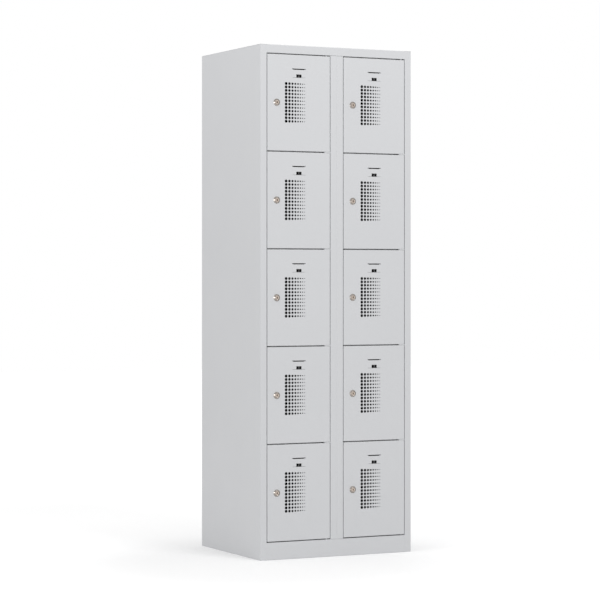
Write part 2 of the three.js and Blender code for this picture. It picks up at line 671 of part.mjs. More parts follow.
/** One door with its lock, hung on its hinge axis. */
function door(column, tier) {
  const label = (piece) => `${COLUMN_NAMES[column]}_${piece}_${tier}`;
  const lockPlace = [PIN_FROM_EDGE - DOOR_WIDTH + LOCK_FROM_EDGE, -PIN_FROM_FRONT, DOOR_HEIGHT / 2];
  const group = new THREE.Group();
  group.add(doorLeaf(label('door')));
  group.add(place(lockHousing(label('lock_housing')), ...lockPlace));
  group.add(place(lockCam(label('lock_cam')), ...lockPlace));
  return place(group, columnPlan(column).pinX, PIN_Y, gapHeight(tier) + DOOR_GAP / 2);
}

/** The walls of a column: a side panel at the cabinet's edge, a partition between columns. */
function columnWalls(column) {
  const name = COLUMN_NAMES[column];
  const { left, right } = columnPlan(column);
  const isLast = column === COLUMN_NAMES.length - 1;
  return [
    column === 0 ? sidePanel(`${name}_side_panel`, left, 1) : partition(`${name}_partition`, left, 1),
    isLast ? sidePanel(`${name}_side_panel`, right, -1) : partition(`${name}_partition`, right, -1),
  ];
}

/** The shelves of a column and what its doors hang on. */
function columnFittings(column) {
  const label = (piece) => `${COLUMN_NAMES[column]}_${piece}`;
  const { pinX } = columnPlan(column);
  const fittings = [
    compartmentFloor(label('floor'), column),
    place(endPin(label('top_hinge_pin'), -1), pinX, PIN_Y, RAIL_UNDERSIDE),
    place(endPin(label('bottom_hinge_pin'), 1), pinX, PIN_Y, PLINTH_HEIGHT),
  ];
  for (let tier = 1; tier < TIER_COUNT; tier += 1) {
    fittings.push(middleShelf(label(`shelf_${tier}`), column, tier));
    fittings.push(place(hingeBracket(label(`hinge_bracket_${tier}`)), pinX, PIN_Y, gapHeight(tier)));
  }
  return fittings;
}

const cabinet = new THREE.Group();
cabinet.add(roof(), plinth(), backPanel());
for (let column = 0; column < COLUMN_NAMES.length; column += 1) {
  cabinet.add(...columnWalls(column), ...columnFittings(column));
  for (let tier = 1; tier <= TIER_COUNT; tier += 1) {
    cabinet.add(door(column, tier));
  }
}

export default cabinet;
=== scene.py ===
"""A steel compartment locker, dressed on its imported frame.

Two columns of five doors stand in one welded cabinet of folded sheet. The cabinet's sheets are the
frame's own, in a powder coat. The door leaves, card frames, cam locks and hinges are made here, finer
than in the frame, and stand where the frame has them. Lengths are metres.
"""

import json
import logging
import math
from collections.abc import Callable, Sequence
from dataclasses import dataclass
from enum import Enum

import bmesh
import bpy
from bmesh.types import BMesh, BMVert
from bpy.types import ID, Material, Mesh, Node, NodeSocket, NodeTree, Object
from mathutils import Euler, Matrix, Vector


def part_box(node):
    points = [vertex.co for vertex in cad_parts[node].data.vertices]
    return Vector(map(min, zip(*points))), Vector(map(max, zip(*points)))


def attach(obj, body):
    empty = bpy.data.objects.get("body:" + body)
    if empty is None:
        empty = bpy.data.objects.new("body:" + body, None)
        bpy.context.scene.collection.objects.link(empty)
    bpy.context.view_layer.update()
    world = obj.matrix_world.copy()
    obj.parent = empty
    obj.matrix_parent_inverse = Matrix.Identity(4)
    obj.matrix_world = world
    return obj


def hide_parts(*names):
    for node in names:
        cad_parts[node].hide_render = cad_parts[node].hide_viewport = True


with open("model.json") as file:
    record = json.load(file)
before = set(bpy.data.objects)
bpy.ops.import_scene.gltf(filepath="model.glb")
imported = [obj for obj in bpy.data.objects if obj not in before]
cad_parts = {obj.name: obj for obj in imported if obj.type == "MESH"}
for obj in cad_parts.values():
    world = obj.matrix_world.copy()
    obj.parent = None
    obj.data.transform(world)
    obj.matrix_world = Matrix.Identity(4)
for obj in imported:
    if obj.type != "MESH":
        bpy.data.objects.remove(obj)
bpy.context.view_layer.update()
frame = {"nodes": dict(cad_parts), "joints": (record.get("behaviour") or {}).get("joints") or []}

logging.basicConfig(level=logging.INFO, format="%(name)s: %(message)s")
log = logging.getLogger("locker")

MM = 0.001
DOOR_GAP = 3.0 * MM
TIERS = range(1, 6)
OWN_PLACE = "own_place"
WHITE = (1.0, 1.0, 1.0, 1.0)
RIPPLES_PER_CELL = 2.3
GLOSS_PER_CLOUD = 2.7
SPECK_SCALE = 1500.0
PATCH_SCALE = 400.0

Colour = tuple[float, float, float]
Point = tuple[float, float]
Radius = float | Callable[[float], float]
Profile = list[tuple[Radius, float]]


class Column(Enum):
    """The two columns, as seen from the front."""

    LEFT = "left"
    RIGHT = "right"


class Slot(Enum):
    """The record's material slots."""

    SHEET = "lacquered_steel"
    HINGE = "hinge_metal"
    LOCK = "lock_metal"


class Axis(Enum):
    """The axis that a turned piece is turned about."""

    Y = "y"
    Z = "z"


class Lay(Enum):
    """How the fine lines of a metal lie."""

    DRAWN = "along the piece"
    TURNED = "round its axis"


# ---------------------------------------------------------------- node trees


class TreeBuilder:
    """Adds nodes to one node tree and wires them up."""

    def __init__(self, tree: NodeTree) -> None:
        """Starts on the tree that the nodes go into."""
        self.tree = tree

    def add(self, kind: str, settings: dict | None = None, **inputs: object) -> Node:
        """Adds a node.

        Args:
            kind: The node's type name.
            settings: Properties of the node to set before its inputs.
            **inputs: Values or output sockets for its inputs, with _ for each space in an input's
                name, and i0, i1 and so on for inputs by number.

        Returns:
            The new node.
        """
        node = self.tree.nodes.new(kind)
        for name, value in (settings or {}).items():
            setattr(node, name, value)
        for name, value in inputs.items():
            by_number = name[0] == "i" and name[1:].isdigit()
            socket = node.inputs[int(name[1:])] if by_number else node.inputs[name.replace("_", " ")]
            if isinstance(value, NodeSocket):
                self.tree.links.new(value, socket)
            else:
                socket.default_value = value
        return node

    def maths(self, operation: str, *values: object) -> NodeSocket:
        """Adds a Math node with one to three operands, as its operation takes, and gives its result."""
        inputs = {f"i{number}": value for number, value in enumerate(values)}
        return self.add("ShaderNodeMath", {"operation": operation}, **inputs).outputs[0]

    def noise(self, place: NodeSocket, scale: float | NodeSocket, detail: float) -> NodeSocket:
        """Adds a Noise Texture node that reads some coordinates, and gives its factor."""
        return self.add("ShaderNodeTexNoise", Vector=place, Scale=scale, Detail=detail).outputs[0]


def add_sockets(tree: NodeTree, way: str, kinds: dict[str, str]) -> None:
    """Adds sockets to a node group, on its way "INPUT" or "OUTPUT", with the kind of each by its name."""
    for label, kind in kinds.items():
        tree.interface.new_socket(name=label, in_out=way, socket_type=f"NodeSocket{kind}")


class EffectGroup:
    """A shader node group that several finishes share."""

    def __init__(self, name: str, inputs: Sequence[str], outputs: Sequence[str]) -> None:
        """Makes the group with the vector input Position and its own number inputs and outputs.

        Args:
            name: The group's name.
            inputs: Names of its number inputs.
            outputs: Names of its number outputs.
        """
        self.tree = bpy.data.node_groups.new(name, "ShaderNodeTree")
        add_sockets(self.tree, "INPUT", {"Position": "Vector", **dict.fromkeys(inputs, "Float")})
        add_sockets(self.tree, "OUTPUT", dict.fromkeys(outputs, "Float"))
        self.build = TreeBuilder(self.tree)
        self.given = self.build.add("NodeGroupInput").outputs
        self.result = self.build.add("NodeGroupOutput").inputs

    def give(self, label: str, value: NodeSocket) -> None:
        """Wires a value to one of the group's outputs."""
        self.tree.links.new(value, self.result[label])


def coat_peel() -> NodeTree:
    """Makes the orange peel of a powder coat: soft cells with finer ripples between them.

    Returns:
        A group with inputs Position, Cells and Ripple and the output Height.
    """
    group = EffectGroup("coat peel", ["Cells", "Ripple"], ["Height"])
    build, given = group.build, group.given
    cells = build.add(
        "ShaderNodeTexVoronoi", {"feature": "SMOOTH_F1"}, Vector=given["Position"], Scale=given["Cells"],
        Smoothness=1.0,
    )
    ripple = build.noise(given["Position"], build.maths("MULTIPLY", given["Cells"], RIPPLES_PER_CELL), 2.0)
    fine = build.maths("MULTIPLY", ripple, given["Ripple"])
    group.give("Height", build.maths("ADD", cells.outputs["Distance"], fine))
    return group.tree


def coat_drift() -> NodeTree:
    """Makes the slow drift of tone and gloss over a sprayed sheet.

    Returns:
        A group with inputs Position, Clouds and Grain and the outputs Tone and Gloss, from 0 to 1.
    """
    group = EffectGroup("coat drift", ["Clouds", "Grain"], ["Tone", "Gloss"])
    build, given = group.build, group.given
    clouds = build.noise(given["Position"], given["Clouds"], 3.0)
    specks = build.noise(given["Position"], SPECK_SCALE, 1.0)
    grain = build.maths("MULTIPLY", build.maths("SUBTRACT", specks, 0.5), given["Grain"])
    group.give("Tone", build.maths("ADD", clouds, grain))
    gloss_scale = build.maths("MULTIPLY", given["Clouds"], GLOSS_PER_CLOUD)
    group.give("Gloss", build.noise(given["Position"], gloss_scale, 4.0))
    return group.tree


def draw_lines() -> NodeTree:
    """Makes the fine lines that rolling, drawing or turning leaves on metal.

    Returns:
        A group with inputs Position, Across and Along and the outputs Height and Streak.
    """
    group = EffectGroup("draw lines", ["Across", "Along"], ["Height", "Streak"])
    build, given = group.build, group.given
    scale = build.add("ShaderNodeCombineXYZ", X=given["Along"], Y=given["Across"], Z=given["Across"])
    stretched = build.add(
        "ShaderNodeVectorMath", {"operation": "MULTIPLY"}, i0=given["Position"], i1=scale.outputs[0],
    )
    lines = build.noise(stretched.outputs[0], 1.0, 2.0)
    group.give("Height", lines)
    group.give("Streak", build.maths("MULTIPLY", lines, build.noise(given["Position"], PATCH_SCALE, 2.0)))
    return group.tree


@dataclass(frozen=True)
class Effects:
    """The shared effect groups."""

    peel: NodeTree
    drift: NodeTree
    lines: NodeTree

    @classmethod
    def make(cls) -> "Effects":
        """Builds every group once."""
        return cls(peel=coat_peel(), drift=coat_drift(), lines=draw_lines())


# ------------------------------------------------------------------ finishes


def emptied(holder: ID) -> TreeBuilder:
    """Empties the node tree of a material or a world.

    Args:
        holder: The material or the world.

    Returns:
        A builder for its tree.
    """
    holder.use_nodes = True
    holder.node_tree.nodes.clear()
    return TreeBuilder(holder.node_tree)


def blank_material(name: str) -> tuple[Material, TreeBuilder, Node]:
    """Makes a material that holds only a Principled shader and its output.

    Args:
        name: The material's name.

    Returns:
        The material, a builder for its tree and the shader node.
    """
    material = bpy.data.materials.new(name)
    build = emptied(material)
    shader = build.add("ShaderNodeBsdfPrincipled")
    build.add("ShaderNodeOutputMaterial", Surface=shader.outputs["BSDF"])
    return material, build, shader


def seen_rays(build: TreeBuilder) -> NodeSocket:
    """Tells the rays that show a surface, straight, mirrored or through glass, from those that light it.

    Args:
        build: The builder of the tree that asks.

    Returns:
        1 for a ray that shows the surface, and 0 for all others.
    """
    path = build.add("ShaderNodeLightPath").outputs
    seen = build.maths("MAXIMUM", path["Is Camera Ray"], path["Is Glossy Ray"])
    return build.maths("MAXIMUM", seen, path["Is Transmission Ray"])


@dataclass(frozen=True)
class Surface:
    """What every finish has: two tones, two roughnesses and the height of its bumps."""

    light: Colour
    deep: Colour
    glossy: float
    matt: float
    bump_height: float

    def wire(self, build: TreeBuilder, shader: Node, tone: NodeSocket,
             gloss: NodeSocket, gloss_span: Point, height: NodeSocket) -> None:
        """Wires the surface into a shader.

        Args:
            build: The builder of the material's tree.
            shader: The shader.
            tone: The mask between the tones.
            gloss: The mask between the roughnesses.
            gloss_span: The values of that mask at the two roughnesses.
            height: The bumps.
        """
        colour = build.add(
            "ShaderNodeMix", {"data_type": "RGBA"}, Factor=tone, i6=(*self.light, 1.0), i7=(*self.deep, 1.0),
        )
        rough = build.add(
            "ShaderNodeMapRange", Value=gloss, From_Min=gloss_span[0], From_Max=gloss_span[1],
            To_Min=self.glossy, To_Max=self.matt,
        )
        bump = build.add("ShaderNodeBump", Strength=1.0, Distance=self.bump_height, Height=height)
        for label, value in (("Base Color", colour.outputs[2]), ("Roughness", rough.outputs["Result"]),
                             ("Normal", bump.outputs["Normal"])):
            build.tree.links.new(value, shader.inputs[label])


@dataclass(frozen=True)
class PowderCoat:
    """Light grey powder coat with a fine orange peel."""

    surface: Surface = Surface((0.674, 0.681, 0.697), (0.648, 0.655, 0.671), 0.38, 0.47, 5.0e-6)
    gloss_span: Point = (0.3, 0.7)
    clouds: float = 3.0
    grain: float = 0.3
    cells: float = 900.0
    ripple: float = 0.35
    specular: float = 0.42

    def material(self, effects: Effects) -> Material:
        """Makes the material.

        Args:
            effects: The shared effect groups.

        Returns:
            The material.
        """
        material, build, shader = blank_material("powder_coat")
        place = build.add("ShaderNodeTexCoord").outputs["Object"]
        drift = build.add(
            "ShaderNodeGroup", {"node_tree": effects.drift}, Position=place, Clouds=self.clouds, Grain=self.grain,
        ).outputs
        peel = build.add(
            "ShaderNodeGroup", {"node_tree": effects.peel}, Position=place, Cells=self.cells, Ripple=self.ripple,
        ).outputs
        self.surface.wire(build, shader, drift["Tone"], drift["Gloss"], self.gloss_span, peel["Height"])
        shader.inputs["Specular IOR Level"].default_value = self.specular
        return material


@dataclass(frozen=True)
class BareMetal:
    """A plated or polished metal with fine lines."""

    name: str
    surface: Surface
    lay: Lay = Lay.DRAWN
    gloss_span: Point = (0.1, 0.5)
    across: float = 9000.0
    along: float = 250.0

    def line_place(self, build: TreeBuilder) -> NodeSocket:
        """Gives the coordinates that the lines follow.

        Args:
            build: The builder of the material's tree.

        Returns:
            Object coordinates, or depth and radius about the piece's own axis for turned metal.
        """
        if self.lay is Lay.DRAWN:
            return build.add("ShaderNodeTexCoord").outputs["Object"]
        own = build.add("ShaderNodeAttribute", {"attribute_name": OWN_PLACE}).outputs["Vector"]
        parts = build.add("ShaderNodeSeparateXYZ", Vector=own).outputs
        squares = build.maths("ADD", build.maths("POWER", parts["X"], 2.0), build.maths("POWER", parts["Z"], 2.0))
        return build.add("ShaderNodeCombineXYZ", X=0.0, Y=build.maths("SQRT", squares), Z=parts["Y"]).outputs[0]

    def material(self, effects: Effects) -> Material:
        """Makes the material.

        Args:
            effects: The shared effect groups.

        Returns:
            The material.
        """
        material, build, shader = blank_material(self.name)
        lines = build.add(
            "ShaderNodeGroup", {"node_tree": effects.lines}, Position=self.line_place(build), Across=self.across,
            Along=self.along,
        ).outputs
        self.surface.wire(build, shader, lines["Streak"], lines["Streak"], self.gloss_span, lines["Height"])
        shader.inputs["Metallic"].default_value = 1.0
        return material


@dataclass(frozen=True)
class Finishes:
    """Every finish of the locker, as materials."""

    coat: Material
    zinc: Material
    collar: Material
    plug: Material
    keyway: Material

    @classmethod
    def make(cls, effects: Effects) -> "Finishes":
        """Makes the materials.

        Args:
            effects: The shared effect groups.

        Returns:
            The finishes.
        """
        zinc = Surface((0.62, 0.63, 0.65), (0.5, 0.51, 0.53), 0.3, 0.45, 2.0e-6)
        # The collar is nickel, coloured far darker than nickel is: painted dark reflections, standing in for the
        # darker surroundings that its turned face mirrors above and below.
        collar = Surface((0.34, 0.31, 0.285), (0.28, 0.25, 0.23), 0.12, 0.2, 1.0e-6)
        plug = Surface((0.6, 0.51, 0.44), (0.5, 0.42, 0.36), 0.28, 0.4, 2.0e-6)
        # The keyway's near-black colour is painted shade, darker than the plug's metal that the slot is cut in.
        keyway = Surface((0.07, 0.05, 0.04), (0.04, 0.03, 0.025), 0.5, 0.7, 2.0e-6)
        return cls(
            coat=PowderCoat().material(effects),
            zinc=BareMetal("zinc_plate", zinc).material(effects),
            collar=BareMetal("nickel_collar_painted_dark_reflection", collar, Lay.TURNED).material(effects),
            plug=BareMetal("warm_nickel", plug, Lay.TURNED).material(effects),
            keyway=BareMetal("keyway_painted_shade", keyway).material(effects),
        )


# ------------------------------------------------------------- mesh building


def turned(profile: Profile, segments: int, axis: Axis = Axis.Y, ring: bool = False) -> BMesh:
    """Turns a profile about an axis.

    Args:
        profile: Pairs of a radius, or a radius that depends on the angle, and a place along the axis.
        segments: How many segments go round.
        axis: The axis.
        ring: Whether the profile's last point joins its first, as on a piece with a hole.

    Returns:
        The closed mesh.
    """
    bm = bmesh.new()
    rows: list[list[BMVert]] = []
    for radius, along in profile:
        count = 1 if radius == 0 else segments
        row = []
        for number in range(count):
            angle = 2 * math.pi * number / segments
            reach = radius(angle) if callable(radius) else radius
            across, up = reach * math.cos(angle), reach * math.sin(angle)
            row.append(bm.verts.new((across, along, up) if axis is Axis.Y else (across, up, along)))
        rows.append(row)
    pairs = list(zip(rows, rows[1:]))
    if ring:
        pairs.append((rows[-1], rows[0]))
    for near, far in pairs:
        for number in range(segments):
            following = (number + 1) % segments
            corners = [near[number % len(near)], far[number % len(far)],
                       far[following % len(far)], near[following % len(near)]]
            bm.faces.new(list(dict.fromkeys(corners)))
    bmesh.ops.recalc_face_normals(bm, faces=bm.faces)
    return bm


def pushed(outline: Sequence[Point], start: float, end: float, axis: Axis) -> BMesh:
    """Pushes a closed outline along an axis.

    Args:
        outline: Its corners, as (x, z) for the Y axis and (x, y) for the Z axis.
        start: Where it starts.
        end: Where it ends.
        axis: The axis.

    Returns:
        The closed mesh.
    """
    bm = bmesh.new()
    caps = []
    for along in (start, end):
        caps.append([bm.verts.new((a, along, b) if axis is Axis.Y else (a, b, along)) for a, b in outline])
    bm.faces.new(caps[0])
    bm.faces.new(caps[1])
    for number in range(len(outline)):
        following = (number + 1) % len(outline)
        bm.faces.new((caps[0][number], caps[1][number], caps[1][following], caps[0][following]))
    bmesh.ops.recalc_face_normals(bm, faces=bm.faces)
    return bm


def block(low: Sequence[float], high: Sequence[float]) -> BMesh:
    """Makes a block between its lowest and highest corners."""
    outline = [(low[0], low[2]), (high[0], low[2]), (high[0], high[2]), (low[0], high[2])]
    return pushed(outline, low[1], high[1], Axis.Y)


def arc(centre: Point, radius: float, start: float, end: float, steps: int) -> list[Point]:
    """Gives points on an arc.

    Args:
        centre: Its centre.
        radius: Its radius.
        start: Its first angle, in degrees.
        end: Its last angle, in degrees.
        steps: How many steps it takes.

    Returns:
        The points, both ends with them.
    """
    points = []
    for step in range(steps + 1):
        angle = math.radians(start + (end - start) * step / steps)
        points.append((centre[0] + radius * math.cos(angle), centre[1] + radius * math.sin(angle)))
    return points


def circle(centre: Point, radius: float, sides: int) -> list[Point]:
    """Gives the corners of a circle with a number of sides."""
    return arc(centre, radius, 0.0, 360.0 * (sides - 1) / sides, sides - 1)


def hexagon(flats: float, limit: float = math.inf) -> Callable[[float], float]:
    """Gives how far a hexagon reaches from its middle.

    Args:
        flats: Its width across flats.
        limit: The radius that its corners are cut to.

    Returns:
        The radius as a function of the angle.
    """
    def reach(angle: float) -> float:
        """Gives the radius at an angle, in radians."""
        turn = (math.degrees(angle) + 30.0) % 60.0 - 30.0
        return min(flats / 2 / math.cos(math.radians(turn)), limit)

    return reach


def rounded(edges: BMesh, width: float, steps: int = 2, least_turn: float = 40.0) -> BMesh:
    """Rounds the sharp edges of a mesh.

    Args:
        edges: The mesh.
        width: How far the rounding reaches from an edge.
        steps: Its number of segments.
        least_turn: The angle, in degrees, by which a sharp edge turns at least.

    Returns:
        The same mesh.
    """
    sharp = [e for e in edges.edges if e.is_manifold and e.calc_face_angle(0.0) > math.radians(least_turn)]
    bmesh.ops.bevel(edges, geom=sharp, offset=width, segments=steps, profile=0.5, affect="EDGES", clamp_overlap=True)
    return edges


def gathered(*meshes: BMesh) -> BMesh:
    """Puts several closed meshes into the first one.

    Args:
        *meshes: The meshes. All but the first are freed.

    Returns:
        The first mesh.
    """
    whole = meshes[0]
    for other in meshes[1:]:
        spare = bpy.data.meshes.new("spare")
        other.to_mesh(spare)
        whole.from_mesh(spare)
        bpy.data.meshes.remove(spare)
        other.free()
    return whole


def shaded(mesh: Mesh, smooth_below: float) -> Mesh:
    """Shades mesh data smooth but for its sharper edges.

    Args:
        mesh: The mesh data.
        smooth_below: The angle in degrees above which an edge stays sharp.

    Returns:
        The same mesh data.
    """
    mesh.shade_smooth()
    mesh.set_sharp_from_angle(angle=math.radians(smooth_below))
    return mesh


def mesh_of(name: str, bm: BMesh, smooth_below: float = 35.0) -> Mesh:
    """Turns a working mesh into mesh data, shaded smooth but for its sharper edges.

    Args:
        name: The data's name.
        bm: The working mesh, which is freed.
        smooth_below: The angle in degrees above which an edge stays sharp.

    Returns:
        The mesh data.
    """
    mesh = bpy.data.meshes.new(name)
    bm.to_mesh(mesh)
    bm.free()
    return shaded(mesh, smooth_below)


def linked(name: str, data: ID) -> Object:
    """Puts data into the scene as an object at the origin.

    Args:
        name: The object's name.
        data: A mesh, a light or a camera.

    Returns:
        The object.
    """
    piece = bpy.data.objects.new(name, data)
    bpy.context.scene.collection.objects.link(piece)
    return piece


def settled(piece: Object, name: str) -> Mesh:
    """Bakes an object's modifiers into mesh data and removes the object.

    Args:
        piece: The object with its modifiers.
        name: The name of the new mesh data.

    Returns:
        The baked mesh data.
    """
    bpy.context.view_layer.update()
    graph = bpy.context.evaluated_depsgraph_get()
    mesh = bpy.data.meshes.new_from_object(piece.evaluated_get(graph), preserve_all_data_layers=True, depsgraph=graph)
    mesh.name = name
    raw = piece.data
    bpy.data.objects.remove(piece)
    bpy.data.meshes.remove(raw)
    return mesh


def flattened(mesh: Mesh) -> Mesh:
    """Weights the normals of a mesh by face area, so that wide flat faces shade flat beside their folds.

    Args:
        mesh: The mesh data, which is removed.

    Returns:
        New mesh data with the weighted normals.
    """
    piece = linked("weighting", mesh)
    weighting = piece.modifiers.new("weighting", "WEIGHTED_NORMAL")
    weighting.mode = "FACE_AREA"
    weighting.weight = 100
    weighting.keep_sharp = True
    return settled(piece, mesh.name)


def carved(mesh: Mesh, cutter: BMesh) -> Mesh:
    """Cuts a closed cutter out of a closed mesh.

    Args:
        mesh: The mesh data, which is removed.
        cutter: The cutter, which is freed.

    Returns:
        New mesh data with the cut.
    """
    tool = linked("cutter", mesh_of("cutter", cutter))
    piece = linked("carving", mesh)
    carving = piece.modifiers.new("carving", "BOOLEAN")
    carving.operation = "DIFFERENCE"
    carving.solver = "EXACT"
    carving.object = tool
    result = settled(piece, mesh.name)
    spare = tool.data
    bpy.data.objects.remove(tool)
    bpy.data.meshes.remove(spare)
    return result


@dataclass(frozen=True)
class Fitting:
    """A finished piece's mesh with its finish and slot, ready to be set in its places."""

    mesh: Mesh
    finish: Material
    slot: Slot

    def set_at(self, name: str, place: Sequence[float], body: str) -> Object:
        """Sets a copy of the piece in one place.

        Args:
            name: The object's name.
            place: Where the mesh's own origin goes.
            body: The body that it rides on.

        Returns:
            The object, at the origin with its place in its mesh.
        """
        mesh = self.mesh.copy()
        mesh.name = name
        own = mesh.attributes.new(OWN_PLACE, "FLOAT_VECTOR", "POINT")
        for vertex, entry in zip(mesh.vertices, own.data):
            entry.vector = vertex.co
        mesh.transform(Matrix.Translation(Vector(place)))
        if not mesh.materials:
            mesh.materials.append(self.finish)
        piece = linked(name, mesh)
        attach(piece, body)
        return piece


# -------------------------------------------------------------------- pieces


@dataclass
class PerforationField:
    """The holes of a door: rows at one pitch, in columns that shrink and close up away from the lock."""

    columns: int = 8
    rows: int = 12
    row_pitch: float = 12.0 * MM
    largest: float = 10.55 * MM
    shrink: float = 1.06 * MM
    first_pitch: float = 12.85 * MM
    pitch_step: float = 0.83 * MM
    first_from_lock: float = 36.6 * MM
    above_lock: float = 1.0 * MM
    sides: int = 24
    cut_depth: float = 3.0 * MM

    def tree(self) -> NodeTree:
        """Builds the tree that cuts the field into a sheet.

        Returns:
            The geometry node tree, with named inputs for every size.
        """
        tree = bpy.data.node_groups.new("perforation field", "GeometryNodeTree")
        add_sockets(tree, "INPUT", {"Sheet": "Geometry"})
        sizes = {
            "Columns": self.columns, "Rows": self.rows, "Sides": self.sides,
            "Row pitch": self.row_pitch, "Largest hole": self.largest, "Shrink": self.shrink,
            "First pitch": self.first_pitch, "Pitch step": self.pitch_step, "Cut depth": self.cut_depth,
            "First column": 0.0, "Middle height": 0.0,
        }
        for label, value in sizes.items():
            add_sockets(tree, "INPUT", {label: "Int" if isinstance(value, int) else "Float"})
            tree.interface.items_tree[label].default_value = value
        add_sockets(tree, "INPUT", {"Finish": "Material"})
        add_sockets(tree, "OUTPUT", {"Sheet": "Geometry"})
        build = TreeBuilder(tree)
        given = build.add("NodeGroupInput").outputs
        index = build.add("GeometryNodeInputIndex").outputs[0]
        column = build.maths("FLOOR", build.maths("DIVIDE", build.maths("ADD", index, 0.5), given["Rows"]))
        row = build.maths("SUBTRACT", index, build.maths("MULTIPLY", column, given["Rows"]))
        products = build.maths("MULTIPLY", column, build.maths("SUBTRACT", column, 1.0))
        pairs = build.maths("MULTIPLY", products, 0.5)
        spread = build.maths("MULTIPLY", column, given["First pitch"])
        closing = build.maths("MULTIPLY", pairs, given["Pitch step"])
        across = build.maths("ADD", given["First column"], build.maths("SUBTRACT", spread, closing))
        middle_row = build.maths("MULTIPLY", build.maths("SUBTRACT", given["Rows"], 1.0), 0.5)
        rise = build.maths("MULTIPLY", build.maths("SUBTRACT", row, middle_row), given["Row pitch"])
        height = build.maths("ADD", given["Middle height"], rise)
        diameter = build.maths("SUBTRACT", given["Largest hole"], build.maths("MULTIPLY", column, given["Shrink"]))
        places = build.add("ShaderNodeCombineXYZ", X=across, Y=0.0, Z=height)
        count = build.maths("MULTIPLY", given["Columns"], given["Rows"])
        points = build.add("GeometryNodePoints", Count=count, Position=places.outputs[0])
        punch = build.add("GeometryNodeMeshCylinder", Vertices=given["Sides"], Radius=0.5, Depth=1.0)
        size = build.add("ShaderNodeCombineXYZ", X=diameter, Y=diameter, Z=given["Cut depth"])
        punches = build.add(
            "GeometryNodeInstanceOnPoints", Points=points.outputs[0], Instance=punch.outputs["Mesh"],
            Rotation=(math.pi / 2, 0.0, 0.0), Scale=size.outputs[0],
        )
        solid = build.add("GeometryNodeRealizeInstances", Geometry=punches.outputs[0])
        cut = build.add("GeometryNodeMeshBoolean", {"operation": "DIFFERENCE", "solver": "EXACT"})
        tree.links.new(given["Sheet"], cut.inputs["Mesh 1"])
        tree.links.new(solid.outputs[0], cut.inputs["Mesh 2"])
        whole = build.add("GeometryNodeRealizeInstances", Geometry=cut.outputs["Mesh"])
        coated = build.add("GeometryNodeSetMaterial", Geometry=whole.outputs[0], Material=given["Finish"])
        build.add("NodeGroupOutput", Sheet=coated.outputs[0])
        return tree

    def punch(self, mesh: Mesh, lock_x: float, lock_z: float, finish: Material) -> Mesh:
        """Cuts the field into a door.

        Args:
            mesh: The door's mesh data.
            lock_x: Where the lock's axis is across the door.
            lock_z: The height of the lock's axis above the door's lower edge.
            finish: The door's finish.

        Returns:
            The perforated mesh data, with the finish on it.
        """
        tree = self.tree()
        piece = linked("punching", mesh)
        modifier = piece.modifiers.new("perforation", "NODES")
        modifier.node_group = tree
        values = {
            "First column": lock_x + self.first_from_lock, "Middle height": lock_z + self.above_lock,
            "Finish": finish,
        }
        for item in tree.interface.items_tree:
            if item.item_type == "SOCKET" and item.in_out == "INPUT" and item.name in values:
                modifier[item.identifier] = values[item.name]
        return settled(piece, mesh.name)


